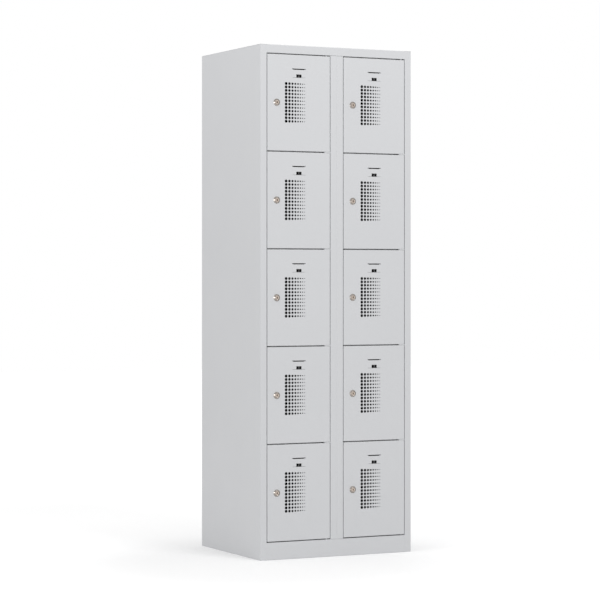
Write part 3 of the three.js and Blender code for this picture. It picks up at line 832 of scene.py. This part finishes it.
@dataclass
class DoorLeaf:
    """A door leaf: a shallow folded pan with its holes, drawn from its low left front corner."""

    width: float
    depth: float
    height: float
    lock_from_edge: float
    pin_place: Point
    sheet: float = 0.8 * MM
    fold: float = 1.6 * MM
    fold_steps: int = 5
    flange: float = 12.0 * MM
    slot_width: float = 53.0 * MM
    slot_height: float = 3.9 * MM
    slot_below_top: float = 50.1 * MM
    window_width: float = 9.8 * MM
    window_height: float = 11.6 * MM
    window_web: float = 0.5 * MM
    window_below_top: float = 74.0 * MM
    punch_corner: float = 0.6 * MM
    punch_corner_steps: int = 3
    punch_start: float = -2.0 * MM
    punch_past: float = 1.0 * MM
    lock_hole: float = 19.2 * MM
    lock_hole_sides: int = 48
    pin_hole: float = 5.6 * MM
    pin_hole_sides: int = 24
    pin_punch: float = 3.0 * MM
    slit_width: float = 51.0 * MM
    slit_height: float = 0.8 * MM
    slit_rise: float = 0.05 * MM
    smooth_below: float = 40.0
    merged_below: float = 1.0e-6

    def pan(self) -> Mesh:
        """Folds the pan: a front, four sides and a flange round the open back.

        Returns:
            Its mesh data, a closed skin of the sheet's thickness.
        """
        bm = block((0.0, 0.0, 0.0), (self.width, self.depth, self.height))
        rear = max(bm.faces, key=lambda face: face.calc_center_median().y)
        folds = list(bm.edges)
        bmesh.ops.inset_region(bm, faces=[rear], thickness=self.flange, use_even_offset=True)
        bmesh.ops.delete(bm, geom=[rear], context="FACES_ONLY")
        bmesh.ops.bevel(
            bm, geom=folds, offset=self.fold, segments=self.fold_steps, profile=0.5, affect="EDGES",
            clamp_overlap=True,
        )
        mesh = mesh_of("door_pan", bm)
        piece = linked("folding", mesh)
        thickness = piece.modifiers.new("thickness", "SOLIDIFY")
        thickness.thickness = self.sheet
        thickness.offset = -1.0
        thickness.use_even_offset = True
        return settled(piece, "door_pan")

    def punch_outline(self, centre: Point, width: float, height: float) -> list[Point]:
        """Gives the outline of a rectangular punch with small round corners.

        Args:
            centre: Its middle, across and up the door.
            width: Its width.
            height: Its height.

        Returns:
            The corners of the outline.
        """
        across, up = width / 2 - self.punch_corner, height / 2 - self.punch_corner
        outline = []
        for number, (right, top) in enumerate(((1, 1), (-1, 1), (-1, -1), (1, -1))):
            corner = (centre[0] + right * across, centre[1] + top * up)
            start = 90.0 * number
            outline += arc(corner, self.punch_corner, start, start + 90.0, self.punch_corner_steps)
        return outline

    def openings(self) -> BMesh:
        """Makes the punches for the slot, the windows, the lock and the pins.

        Returns:
            All of them in one mesh.
        """
        middle = self.width / 2
        front, back = self.punch_start, self.sheet + self.punch_past
        slot = self.punch_outline((middle, self.height - self.slot_below_top), self.slot_width, self.slot_height)
        punches = [pushed(slot, front, back, Axis.Y)]
        for side in (-1, 1):
            x = middle + side * (self.window_width + self.window_web) / 2
            window = self.punch_outline(
                (x, self.height - self.window_below_top), self.window_width, self.window_height,
            )
            punches.append(pushed(window, front, back, Axis.Y))
        lock = circle((self.lock_from_edge, self.height / 2), self.lock_hole / 2, self.lock_hole_sides)
        punches.append(pushed(lock, front, back, Axis.Y))
        pin = circle(self.pin_place, self.pin_hole / 2, self.pin_hole_sides)
        for z in (0.0, self.height):
            punches.append(pushed(pin, z - self.pin_punch, z + self.pin_punch, Axis.Z))
        return gathered(*punches)

    def slit(self) -> BMesh:
        """Makes the punch for the fine slit that runs along the windows' lower edges.

        Returns:
            Its closed mesh.
        """
        z = self.height - self.window_below_top - self.window_height / 2 + self.slit_rise
        low = ((self.width - self.slit_width) / 2, self.punch_start, z)
        high = ((self.width + self.slit_width) / 2, self.sheet + self.punch_past, z + self.slit_height)
        return block(low, high)

    def make(self, field: PerforationField, finish: Material) -> Fitting:
        """Makes the leaf with all its holes.

        Args:
            field: Its perforation.
            finish: Its finish.

        Returns:
            The leaf as a fitting.
        """
        mesh = carved(carved(self.pan(), self.slit()), self.openings())
        mesh.materials.clear()
        mesh = field.punch(mesh, self.lock_from_edge, self.height / 2, finish)
        bm = bmesh.new()
        bm.from_mesh(mesh)
        bmesh.ops.remove_doubles(bm, verts=bm.verts, dist=self.merged_below)
        bm.to_mesh(mesh)
        bm.free()
        mesh.name = "door_leaf"
        return Fitting(flattened(shaded(mesh, self.smooth_below)), finish, Slot.SHEET)


@dataclass
class CardFrame:
    """The low frame behind a door's windows that keeps the name card, drawn from the door's corner."""

    door_width: float
    door_height: float
    card_width: float = 51.0 * MM
    card_height: float = 31.5 * MM
    below_top: float = 50.1 * MM
    room: float = 0.8 * MM
    lip: float = 4.0 * MM
    sheet: float = 0.8 * MM
    edge: float = 0.15 * MM

    def make(self, finish: Material) -> Fitting:
        """Makes the frame: a ledge and two lipped sides.

        Args:
            finish: Its finish.

        Returns:
            The frame as a fitting.
        """
        middle = self.door_width / 2
        top = self.door_height - self.below_top
        bottom = top - self.card_height
        back, deep = self.sheet, 2 * self.sheet + self.room
        pieces = []
        for side in (-1, 1):
            inner, outer = middle + side * self.card_width / 2, middle + side * (self.card_width / 2 + self.sheet)
            tip = middle + side * (self.card_width / 2 - self.lip)
            profile = [(inner, back), (outer, back), (outer, deep), (tip, deep), (tip, back + self.room),
                       (inner, back + self.room)]
            pieces.append(rounded(pushed(profile, bottom, top, Axis.Z), self.edge))
        low = (middle - self.card_width / 2 - self.sheet, back, bottom - self.sheet)
        high = (middle + self.card_width / 2 + self.sheet, deep, bottom)
        pieces.append(rounded(block(low, high), self.edge))
        return Fitting(mesh_of("card_frame", gathered(*pieces)), finish, Slot.SHEET)


@dataclass
class CamLock:
    """A cam lock, drawn from the middle of its hole in the door's front: housing, nut, plug, cam, screw."""

    collar_radius: float = 12.5 * MM
    collar_proud: float = 4.0 * MM
    collar_face_radius: float = 8.0 * MM
    collar_chamfer: float = 0.15 * MM
    collar_rim: float = 0.35 * MM
    collar_lip: float = 0.25 * MM
    rim_inset: float = 0.05 * MM
    rim_round: float = 0.12 * MM
    face_round: float = 0.2 * MM
    mouth_flare: float = 0.1 * MM
    mouth_depth: float = 0.5 * MM
    mouth_end: float = 0.65 * MM
    seat_width: float = 0.5 * MM
    seat_fall: float = 0.1 * MM
    bore_chamfer: float = 0.2 * MM
    barrel_chamfer: float = 0.3 * MM
    barrel_radius: float = 9.3 * MM
    barrel_end: float = 19.0 * MM
    bore_radius: float = 6.3 * MM
    plug_radius: float = 6.05 * MM
    plug_recess: float = 0.7 * MM
    head_radius: float = 6.7 * MM
    head_room: float = 0.15 * MM
    head_depth: float = 1.5 * MM
    head_crown: float = 0.5 * MM
    head_round: Point = (0.12 * MM, 0.1 * MM)
    head_fall: float = 0.3 * MM
    plug_smooth_below: float = 40.0
    seat_room: float = 0.05 * MM
    sheet_room: float = 0.02 * MM
    thread_pitch: float = 1.5 * MM
    thread_depth: float = 0.55 * MM
    thread_start: float = 0.6 * MM
    thread_flank: float = 1.5
    thread_root: float = 0.15
    rows_per_turn: int = 8
    nut_flats: float = 24.0 * MM
    nut_thickness: float = 4.0 * MM
    nut_chamfer: float = 0.7 * MM
    nut_face_past_flats: float = 0.15 * MM
    nut_bite: float = 0.25 * MM
    door_sheet: float = 0.8 * MM
    key_width: float = 3.8 * MM
    key_height: float = 8.0 * MM
    key_depth: float = 6.0 * MM
    key_punch: float = 1.0 * MM
    key_steps: int = 6
    cam_front: float = 20.3 * MM
    cam_thickness: float = 2.5 * MM
    cam_reach: float = 34.5 * MM
    cam_hub_radius: float = 9.0 * MM
    cam_tip_width: float = 12.0 * MM
    cam_corner: float = 3.0 * MM
    cam_corner_steps: int = 5
    cam_hub_steps: int = 20
    cam_edge: float = 0.3 * MM
    washer_radius: float = 5.5 * MM
    washer_thickness: float = 0.6 * MM
    washer_chamfer: Point = (0.2 * MM, 0.15 * MM)
    washer_sides: int = 32
    screw_flats: float = 7.8 * MM
    screw_height: float = 2.4 * MM
    screw_sunk: float = 0.05 * MM
    screw_foot: float = 0.1 * MM
    screw_chamfer: float = 0.35 * MM
    screw_crown_past_flats: float = 0.05 * MM
    segments: int = 48
    hexagon_sides: int = 72

    def thread_radius(self, turn: float, fade: float) -> Callable[[float], float]:
        """Gives the outline of the screw thread at one place along the barrel.

        Args:
            turn: How many turns the thread has made up to there.
            fade: The share of its depth that it has there.

        Returns:
            The radius as a function of the angle.
        """
        def crest(angle: float) -> float:
            """Gives how high the thread stands at an angle, from 0 at its root to 1 at its crest."""
            wave = 1.0 - abs(2.0 * ((turn - angle / (2 * math.pi)) % 1.0) - 1.0)
            return min(1.0, max(0.0, self.thread_flank * wave - self.thread_root))

        return lambda angle: self.barrel_radius - self.thread_depth * (1.0 - crest(angle) * fade)

    def thread(self, start: float, end: float) -> Profile:
        """Gives the rows of a screw thread that fades out at both ends.

        Args:
            start: Where the thread starts along the axis.
            end: Where it ends.

        Returns:
            Rows of a radius that depends on the angle, and a place along the axis.
        """
        count = round((end - start) / self.thread_pitch * self.rows_per_turn)
        rows: Profile = []
        for number in range(count + 1):
            along = start + (end - start) * number / count
            fade = min(1.0, 2 * (along - start) / self.thread_pitch, 2 * (end - along) / self.thread_pitch)
            rows.append((self.thread_radius((along - start) / self.thread_pitch, fade), along))
        return rows

    def housing(self, finish: Material) -> Fitting:
        """Makes the conical collar, the seat of the plug's head and the threaded barrel with the bore.

        Args:
            finish: Its finish.

        Returns:
            The housing as a fitting.
        """
        proud, outer, inner = -self.collar_proud, self.collar_radius, self.collar_face_radius
        crest, seat = inner - self.collar_lip, self.head_radius + self.head_room
        profile: Profile = [
            (self.barrel_radius - self.thread_depth, -self.sheet_room),
            (outer - self.collar_chamfer, -self.sheet_room),
            (outer, -self.collar_chamfer),
            (outer, self.rim_inset - self.collar_rim),
            (outer - self.rim_round, -self.rim_round - self.collar_rim),
            (inner + self.face_round, proud + self.rim_round),
            (inner, proud),
            (crest, proud),
            (seat + self.mouth_flare, proud + self.mouth_depth),
            (seat, proud + self.mouth_end),
            (seat, proud + self.head_depth),
            (seat - self.seat_width, proud + self.head_depth + self.seat_fall),
            (self.bore_radius, self.barrel_end - self.bore_chamfer),
            (self.bore_radius + self.bore_chamfer, self.barrel_end),
            (self.barrel_radius - self.thread_depth - self.barrel_chamfer, self.barrel_end),
            *reversed(self.thread(self.thread_start, self.barrel_end - self.barrel_chamfer)),
        ]
        bm = turned(profile, self.segments, ring=True)
        return Fitting(flattened(mesh_of("lock_housing", bm, smooth_below=50.0)), finish, Slot.LOCK)

    def nut(self, finish: Material) -> Fitting:
        """Makes the flat hexagon nut that holds the lock behind the door sheet.

        Args:
            finish: Its finish.

        Returns:
            The nut as a fitting.
        """
        start, end = self.door_sheet + self.sheet_room, self.door_sheet + self.nut_thickness
        corner = hexagon(self.nut_flats)
        face = hexagon(self.nut_flats, self.nut_flats / 2 + self.nut_face_past_flats)
        bore = self.barrel_radius - self.nut_bite
        profile = [
            (bore, start), (face, start), (corner, start + self.nut_chamfer), (corner, end - self.nut_chamfer),
            (face, end), (bore, end),
        ]
        bm = turned(profile, self.hexagon_sides, ring=True)
        return Fitting(mesh_of("lock_nut", bm, smooth_below=25.0), finish, Slot.LOCK)

    def plug(self, finish: Material, inside: Material) -> Fitting:
        """Makes the turning plug with its head and the keyway cut into its face.

        Args:
            finish: The plug's finish.
            inside: The near-black colour inside the keyway, which paints the shade deep in the slot.

        Returns:
            The plug as a fitting.
        """
        face, back = self.plug_recess - self.collar_proud, self.head_depth - self.seat_room - self.collar_proud
        inset, fall = self.head_round
        profile: Profile = [
            (0.0, face), (self.head_radius - self.head_crown, face), (self.head_radius - inset, face + fall),
            (self.head_radius, face + self.head_fall), (self.head_radius, back), (self.plug_radius, back),
            (self.plug_radius, self.cam_front), (0.0, self.cam_front),
        ]
        mesh = mesh_of("lock_plug", turned(profile, self.segments), self.plug_smooth_below)
        half_width, half_height, end = self.key_width / 2, self.key_height / 2, face + self.key_depth
        rise = half_height - half_width
        outline = [
            *arc((0.0, rise), half_width, 0.0, 180.0, self.key_steps),
            *arc((0.0, -rise), half_width, 180.0, 360.0, self.key_steps),
        ]
        mesh = carved(mesh, pushed(outline, face - self.key_punch, end, Axis.Y))
        mesh.materials.clear()
        mesh.materials.append(finish)
        mesh.materials.append(inside)
        slack, skin = 0.01 * MM, 0.1 * MM
        # The faces inside the keyway take its near-black colour, which paints the shade deep in the slot.
        for polygon in mesh.polygons:
            x, y, z = polygon.center
            within = abs(x) <= half_width + slack and abs(z) <= half_height + slack
            polygon.material_index = int(within and face + skin < y < end + skin)
        return Fitting(flattened(shaded(mesh, self.plug_smooth_below)), finish, Slot.LOCK)

    def cam(self, finish: Material) -> Fitting:
        """Makes the cam plate, hanging down from the plug.

        Args:
            finish: Its finish.

        Returns:
            The cam as a fitting.
        """
        half, reach, corner = self.cam_tip_width / 2, self.cam_reach, self.cam_corner
        outline = [
            *arc((0.0, 0.0), self.cam_hub_radius, 0.0, 180.0, self.cam_hub_steps),
            *arc((corner - half, corner - reach), corner, 180.0, 270.0, self.cam_corner_steps),
            *arc((half - corner, corner - reach), corner, 270.0, 360.0, self.cam_corner_steps),
        ]
        bm = pushed(outline, self.cam_front, self.cam_front + self.cam_thickness, Axis.Y)
        return Fitting(mesh_of("lock_cam_plate", rounded(bm, self.cam_edge, least_turn=60.0)), finish, Slot.LOCK)

    def screw(self, finish: Material) -> Fitting:
        """Makes the washer and the hexagon screw that hold the cam on the plug.

        Args:
            finish: Their finish.

        Returns:
            The washer and the screw as a fitting.
        """
        base = self.cam_front + self.cam_thickness - self.screw_sunk
        rim, flat, (inset, fall) = self.washer_radius, base + self.washer_thickness, self.washer_chamfer
        washer = turned(
            [(0.0, base), (rim, base), (rim, flat - fall), (rim - inset, flat), (0.0, flat)], self.washer_sides,
        )
        side = hexagon(self.screw_flats)
        crown = hexagon(self.screw_flats, self.screw_flats / 2 + self.screw_crown_past_flats)
        foot, top = flat - self.screw_foot, base + self.screw_height
        head = turned(
            [(0.0, foot), (side, foot), (side, top - self.screw_chamfer), (crown, top), (0.0, top)],
            self.hexagon_sides,
        )
        return Fitting(mesh_of("lock_screw", gathered(washer, head), smooth_below=25.0), finish, Slot.LOCK)


@dataclass
class PivotHinge:
    """The hinges: a bracket with its pin between two doors, and a headed pin at each end of a row."""

    pin_radius: float = 2.5 * MM
    pin_reach: float = 7.5 * MM
    pin_chamfer: float = 0.6 * MM
    plate_thickness: float = 3.5 * MM
    plate_edge: float = 0.2 * MM
    corner: float = 5.0 * MM
    corner_steps: int = 8
    shoulder_past_door: float = 2.7 * MM
    tail_inset: float = 1.8 * MM
    end_pin_length: float = 9.0 * MM
    head_behind: float = 1.1 * MM
    head_thickness: float = 2.0 * MM
    head_radius: float = 4.5 * MM
    head_dome: tuple[Point, ...] = ((1.4 * MM, 0.975), (0.5 * MM, 0.65), (0.0, 0.25))
    segments: int = 32

    def pin(self, finish: Material) -> Fitting:
        """Makes the pin of a bracket, standing out above and below.

        Args:
            finish: Its finish.

        Returns:
            The pin as a fitting.
        """
        half, radius, point = self.pin_reach, self.pin_radius, self.pin_radius - self.pin_chamfer
        profile: Profile = [
            (0.0, -half), (point, -half), (radius, self.pin_chamfer - half),
            (radius, half - self.pin_chamfer), (point, half), (0.0, half),
        ]
        return Fitting(mesh_of("hinge_pin", turned(profile, self.segments, Axis.Z)), finish, Slot.HINGE)

    def plate(self, finish: Material, low: Point, high: Point, shoulder: float) -> Fitting:
        """Makes a bracket's plate, drawn from its pin.

        Args:
            finish: Its finish.
            low: Its free end and its front edge.
            high: The end of its tail, inside the stile, and its rear edge.
            shoulder: Where the tail starts.

        Returns:
            The plate as a fitting.
        """
        (left, front), (right, rear), inset = low, high, self.tail_inset
        outline = [
            *arc((left + self.corner, front + self.corner), self.corner, 180.0, 270.0, self.corner_steps),
            (shoulder, front), (shoulder, front + inset), (right, front + inset),
            (right, rear - inset), (shoulder, rear - inset), (shoulder, rear),
            *arc((left + self.corner, rear - self.corner), self.corner, 90.0, 180.0, self.corner_steps),
        ]
        half = self.plate_thickness / 2
        bm = rounded(pushed(outline, -half, half, Axis.Z), self.plate_edge, least_turn=60.0)
        return Fitting(mesh_of("hinge_plate", bm), finish, Slot.SHEET)

    def headed_pin(self, finish: Material, way: int) -> Fitting:
        """Makes a headed pin, drawn from the face of the frame's flange that the door gap starts at.

        Args:
            finish: Its finish.
            way: 1 where it points up, -1 where it points down.

        Returns:
            The pin as a fitting.
        """
        crown, head, thickness = self.head_radius, self.head_behind, self.head_thickness
        radius, length = self.pin_radius, self.end_pin_length
        profile: Profile = [
            (0.0, -head - thickness),
            *((crown - inset, -head - share * thickness) for inset, share in self.head_dome), (crown, -head),
            (radius, -head), (radius, length - self.pin_chamfer), (radius - self.pin_chamfer, length), (0.0, length),
        ]
        bm = turned([(reach, way * along) for reach, along in profile], self.segments, Axis.Z)
        return Fitting(mesh_of("headed_pin", bm), finish, Slot.HINGE)


# --------------------------------------------------------------- assemblies


class JointMap:
    """Where the frame's joints are, by name."""

    def __init__(self, joints: Sequence[dict]) -> None:
        """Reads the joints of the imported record."""
        self.places = {joint["name"]: Vector(joint["pos_m"]) for joint in joints}

    def lock(self, column: Column, tier: int) -> Vector:
        """Gives the middle of a lock in the door's front."""
        return self.places[f"{column.value}_lock_{tier}_turn"]

    def hinge(self, column: Column, tier: int) -> Vector:
        """Gives the place of a door's hinge axis."""
        return self.places[f"{column.value}_door_{tier}_hinge"]


@dataclass
class Cabinet:
    """The welded cabinet: the frame's own sheets in powder coat, with the ground welds of its front."""

    nodes: dict[str, Object]
    finish: Material
    stile_width: float = 25.0 * MM
    fold: float = 1.6 * MM
    seam: float = 0.3 * MM
    bead_proud: float = 0.02 * MM
    bead_sunk: float = 0.3 * MM
    mullion_bead: float = 1.6 * MM
    mullion_sunk: float = 0.35 * MM
    bend_steps: int = 6

    def dress(self) -> None:
        """Gives every sheet of the cabinet its finish."""
        for name, node in self.nodes.items():
            node.data.materials.clear()
            node.data.materials.append(self.finish)
            log.info("coated %s", name)

    def weld(self) -> None:
        """Fills the joints of the front: at the ends of the rail and the plinth, and along the mullion."""
        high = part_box("roof")[1]
        front, rail_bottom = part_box("left_door_1")[0].y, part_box("left_door_1")[1].z + DOOR_GAP
        plinth_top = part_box("left_door_5")[0].z - DOOR_GAP
        edge, back = high.x - self.stile_width, front + self.fold
        inner, far = edge - self.seam, edge + self.fold
        bend = arc((far, back), self.fold, 270.0, 180.0, self.bend_steps)
        for end, bottom, top, sides in (
            ("rail", rail_bottom, high.z - self.fold, {-1: self.bead_proud, 1: self.bead_proud}),
            ("plinth", self.fold, plinth_top - self.fold, {-1: self.bead_proud, 1: -self.bead_sunk}),
        ):
            for side, proud in sides.items():
                face = front - proud
                outline = [(inner, face), (far, face), *[point for point in bend if point[1] > face], (inner, back)]
                bead = pushed([(side * x, y) for x, y in outline], bottom, top, Axis.Z)
                name = f"{'left' if side < 0 else 'right'}_{end}_weld"
                weld = Fitting(mesh_of(name, bead, smooth_below=20.0), self.finish, Slot.SHEET)
                weld.set_at(name, (0, 0, 0), "cabinet")
                log.info("welded %s", name)
        half, face = self.mullion_bead / 2, front + self.mullion_sunk
        bead = pushed([(-half, face), (half, face), (half, back), (-half, back)], plinth_top, rail_bottom, Axis.Z)
        Fitting(mesh_of("mullion_weld", bead), self.finish, Slot.SHEET).set_at("mullion_weld", (0, 0, 0), "cabinet")


class DoorRow:
    """Everything that hangs in the door openings: leaves, card frames, locks and hinges.

    The upright folds of the leaves stand a little further out than the frame's, and their upper and
    lower folds a little further in.
    """

    FOLDS_OUT = Vector((0.9 * MM, 0.0, -0.5 * MM))

    def __init__(self, finishes: Finishes, joints: JointMap) -> None:
        """Makes one of each piece, from the sizes of the frame's first door.

        Args:
            finishes: The finishes of the pieces.
            joints: Where the frame's joints are.
        """
        self.joints = joints
        low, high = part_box("left_door_1")
        low, high = low - self.FOLDS_OUT, high + self.FOLDS_OUT
        size = high - low
        lock, hinge = joints.lock(Column.LEFT, 1), joints.hinge(Column.LEFT, 1)
        leaf = DoorLeaf(size.x, size.y, size.z, lock.x - low.x, (hinge.x - low.x, hinge.y - low.y))
        self.leaf = leaf.make(PerforationField(), finishes.coat)
        log.info("door leaf: %d faces", len(self.leaf.mesh.polygons))
        self.card_frame = CardFrame(size.x, size.z).make(finishes.coat)
        cam_lock = CamLock()
        self.housing = cam_lock.housing(finishes.collar)
        self.nut = cam_lock.nut(finishes.zinc)
        self.plug = cam_lock.plug(finishes.plug, finishes.keyway)
        self.cam = cam_lock.cam(finishes.zinc)
        self.screw = cam_lock.screw(finishes.zinc)
        self.finishes = finishes
        self.pivot = PivotHinge()

    def hang_leaf(self, column: Column, tier: int) -> None:
        """Sets one leaf with its card frame.

        Args:
            column: Its column.
            tier: Its tier.
        """
        node = f"{column.value}_door_{tier}"
        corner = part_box(node)[0] - self.FOLDS_OUT
        body = f"{node}_leaf"
        leaf = self.leaf.set_at(f"{column.value}_leaf_{tier}", corner, body)
        holder = self.card_frame.set_at(f"{column.value}_card_frame_{tier}", corner, body)
        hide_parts(node)
        log.info("hung %s with %s", leaf.name, holder.name)

    def fit_lock(self, column: Column, tier: int) -> None:
        """Sets one lock.

        Args:
            column: Its column.
            tier: Its tier.
        """
        name, place = column.value, self.joints.lock(column, tier)
        leaf_body, lock_body = f"{name}_door_{tier}_leaf", f"{name}_lock_{tier}"
        housing = self.housing.set_at(f"{name}_lock_body_{tier}", place, leaf_body)
        self.nut.set_at(f"{name}_lock_nut_{tier}", place, leaf_body)
        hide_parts(f"{name}_lock_housing_{tier}")
        plug = self.plug.set_at(f"{name}_plug_{tier}", place, lock_body)
        self.cam.set_at(f"{name}_cam_{tier}", place, lock_body)
        self.screw.set_at(f"{name}_cam_screw_{tier}", place, lock_body)
        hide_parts(f"{name}_lock_cam_{tier}")
        log.info("fitted the lock of %s tier %d", name, tier)

    def fit_hinges(self, column: Column) -> None:
        """Sets a column's brackets and end pins.

        Args:
            column: The column.
        """
        name = column.value
        axis = self.joints.hinge(column, 1)
        low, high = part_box(f"{name}_hinge_bracket_1")
        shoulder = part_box(f"{name}_door_1")[1].x + self.pivot.shoulder_past_door - axis.x
        plate = self.pivot.plate(
            self.finishes.coat, (low.x - axis.x, low.y - axis.y), (high.x - axis.x, high.y - axis.y), shoulder,
        )
        pin = self.pivot.pin(self.finishes.zinc)
        for tier in TIERS[:-1]:
            low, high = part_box(f"{name}_hinge_bracket_{tier}")
            place = (axis.x, axis.y, (low.z + high.z) / 2)
            piece = plate.set_at(f"{name}_hinge_plate_{tier}", place, "cabinet")
            pin.set_at(f"{name}_hinge_pin_{tier}", place, "cabinet")
            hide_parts(f"{name}_hinge_bracket_{tier}")
        for end, way, tier in (("top", -1, TIERS[0]), ("bottom", 1, TIERS[-1])):
            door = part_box(f"{name}_door_{tier}")
            face = door[1].z + DOOR_GAP if way < 0 else door[0].z - DOOR_GAP
            rod = self.pivot.headed_pin(self.finishes.zinc, way)
            piece = rod.set_at(f"{name}_{end}_pin", (axis.x, axis.y, face), "cabinet")
            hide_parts(f"{name}_{end}_hinge_pin")
        log.info("fitted the hinges of %s", name)


# -------------------------------------------------------------------- studio


@dataclass(frozen=True)
class Lamp:
    """A soft lamp, aimed at the locker's middle line."""

    name: str
    power: float
    place: tuple[float, float, float]
    width: float
    height: float
    aim_height: float

    def hang(self) -> None:
        """Hangs the lamp."""
        data = bpy.data.lights.new(self.name, "AREA")
        data.energy = self.power
        data.shape = "RECTANGLE"
        data.size, data.size_y = self.width, self.height
        lamp = linked(self.name, data)
        lamp.location = self.place
        aim = Vector((0.0, 0.0, self.aim_height)) - lamp.location
        lamp.rotation_euler = aim.to_track_quat("-Z", "Y").to_euler()


@dataclass(frozen=True)
class GlowStep:
    """One soft rise of the floor's own light with the distance from its darkest place beside the locker's base; the
    dim glow there is painted shadow.
    """

    start: float
    end: float
    low: float
    high: float


@dataclass
class Studio:
    """The plain floor, the light and the camera."""

    ambient: float = 0.695
    floor_reach: float = 15.0
    floor_plain: float = 0.85
    floor_held: float = 0.975
    # The floor's glow is lowest round this middle, beside the locker's base, and rises away from it in these steps: a
    # painted shadow round the base.
    painted_shadow_middle: tuple[float, float, float] = (-0.303, -0.346, 0.0)
    glow_and_painted_shadow_steps: tuple[GlowStep, ...] = (
        GlowStep(0.36, 0.97, 0.066, 0.22),
        GlowStep(0.5, 1.7, 0.0, 0.057),
        GlowStep(2.1, 3.0, 0.0, 0.1),
    )
    lamps: tuple[Lamp, ...] = (
        Lamp("key", 35.6, (0.6, -2.8, 3.6), 1.2, 1.2, 1.0),
        Lamp("side", 11.2, (-1.8, -0.5, 3.3), 1.0, 1.0, 1.2),
        Lamp("strip", 9.0, (-2.9, -2.33, 1.2), 0.25, 2.0, 1.2),
    )
    eye: tuple[float, float, float] = (-3.6811, -7.3330, 0.9838)
    eye_turn: float = -26.52
    lens: float = 135.336
    lens_shift: float = -0.0363

    def floor(self) -> None:
        """Lays the pale floor, which keeps a soft shadow: the one that the lamps and the sky cast, deepened by a glow
        that is painted dimmer round the locker's base.
        """
        reach = self.floor_reach
        corners = ((-reach, -reach), (reach, -reach), (reach, reach), (-reach, reach))
        bm = bmesh.new()
        bm.faces.new([bm.verts.new((x, y, 0.0)) for x, y in corners])
        floor = linked("floor", mesh_of("floor", bm))
        material = bpy.data.materials.new("studio_floor")
        build = emptied(material)
        plain, held = (
            build.add("ShaderNodeBsdfDiffuse", Color=(albedo, albedo, albedo, 1.0))
            for albedo in (self.floor_plain, self.floor_held)
        )
        place = build.add("ShaderNodeTexCoord").outputs["Object"]
        # The glow is dimmest near the locker's base and rises outwards: painted shadow, laid over the shadow that the
        # lamps and the sky really cast.
        distance = build.add(
            "ShaderNodeVectorMath", {"operation": "DISTANCE"}, i0=place, i1=self.painted_shadow_middle,
        ).outputs["Value"]
        rises = [build.add(
            "ShaderNodeMapRange", {"interpolation_type": "SMOOTHSTEP"}, Value=distance, From_Min=step.start,
            From_Max=step.end, To_Min=step.low, To_Max=step.high,
        ).outputs[0] for step in self.glow_and_painted_shadow_steps]
        strength = rises[0]
        for rise in rises[1:]:
            strength = build.maths("ADD", strength, rise)
        glow = build.add("ShaderNodeEmission", Color=WHITE, Strength=strength)
        shown = build.add("ShaderNodeAddShader", i0=held.outputs[0], i1=glow.outputs[0])
        either = build.add("ShaderNodeMixShader", i0=seen_rays(build), i1=plain.outputs[0], i2=shown.outputs[0])
        build.add("ShaderNodeOutputMaterial", Surface=either.outputs[0])
        floor.data.materials.append(material)

    def world(self) -> None:
        """Lights the scene from all round, and shows white behind it."""
        world = bpy.data.worlds.new("studio")
        build = emptied(world)
        strength = build.add("ShaderNodeMix", {"data_type": "FLOAT"}, i0=seen_rays(build), i2=self.ambient, i3=1.0)
        sky = build.add("ShaderNodeBackground", Color=WHITE, Strength=strength.outputs[0])
        build.add("ShaderNodeOutputWorld", Surface=sky.outputs[0])
        bpy.context.scene.world = world

    def camera(self) -> None:
        """Sets the camera at the photograph's place."""
        data = bpy.data.cameras.new("view")
        data.sensor_width = 36.0
        data.lens = self.lens
        data.shift_y = self.lens_shift
        data.clip_end = 100.0
        camera = linked("view", data)
        camera.location = self.eye
        camera.rotation_euler = Euler((math.radians(90.0), 0.0, math.radians(self.eye_turn)))
        bpy.context.scene.camera = camera
        bpy.context.scene.view_settings.view_transform = "Standard"

    def make(self) -> None:
        """Builds the whole studio."""
        self.floor()
        self.world()
        for lamp in self.lamps:
            lamp.hang()
        self.camera()
        log.info("set up the studio")


def main() -> None:
    """Builds and dresses the locker, piece by piece."""
    Studio().make()
    finishes = Finishes.make(Effects.make())
    joints = JointMap(frame["joints"])
    made_here = ("_door_", "_lock_housing_", "_lock_cam_", "_hinge_")
    sheets = {name: node for name, node in frame["nodes"].items() if not any(word in name for word in made_here)}
    cabinet = Cabinet(sheets, finishes.coat)
    cabinet.dress()
    cabinet.weld()
    row = DoorRow(finishes, joints)
    for column in Column:
        for tier in TIERS:
            row.hang_leaf(column, tier)
            row.fit_lock(column, tier)
        row.fit_hinges(column)


if __name__ == "__main__":
    main()
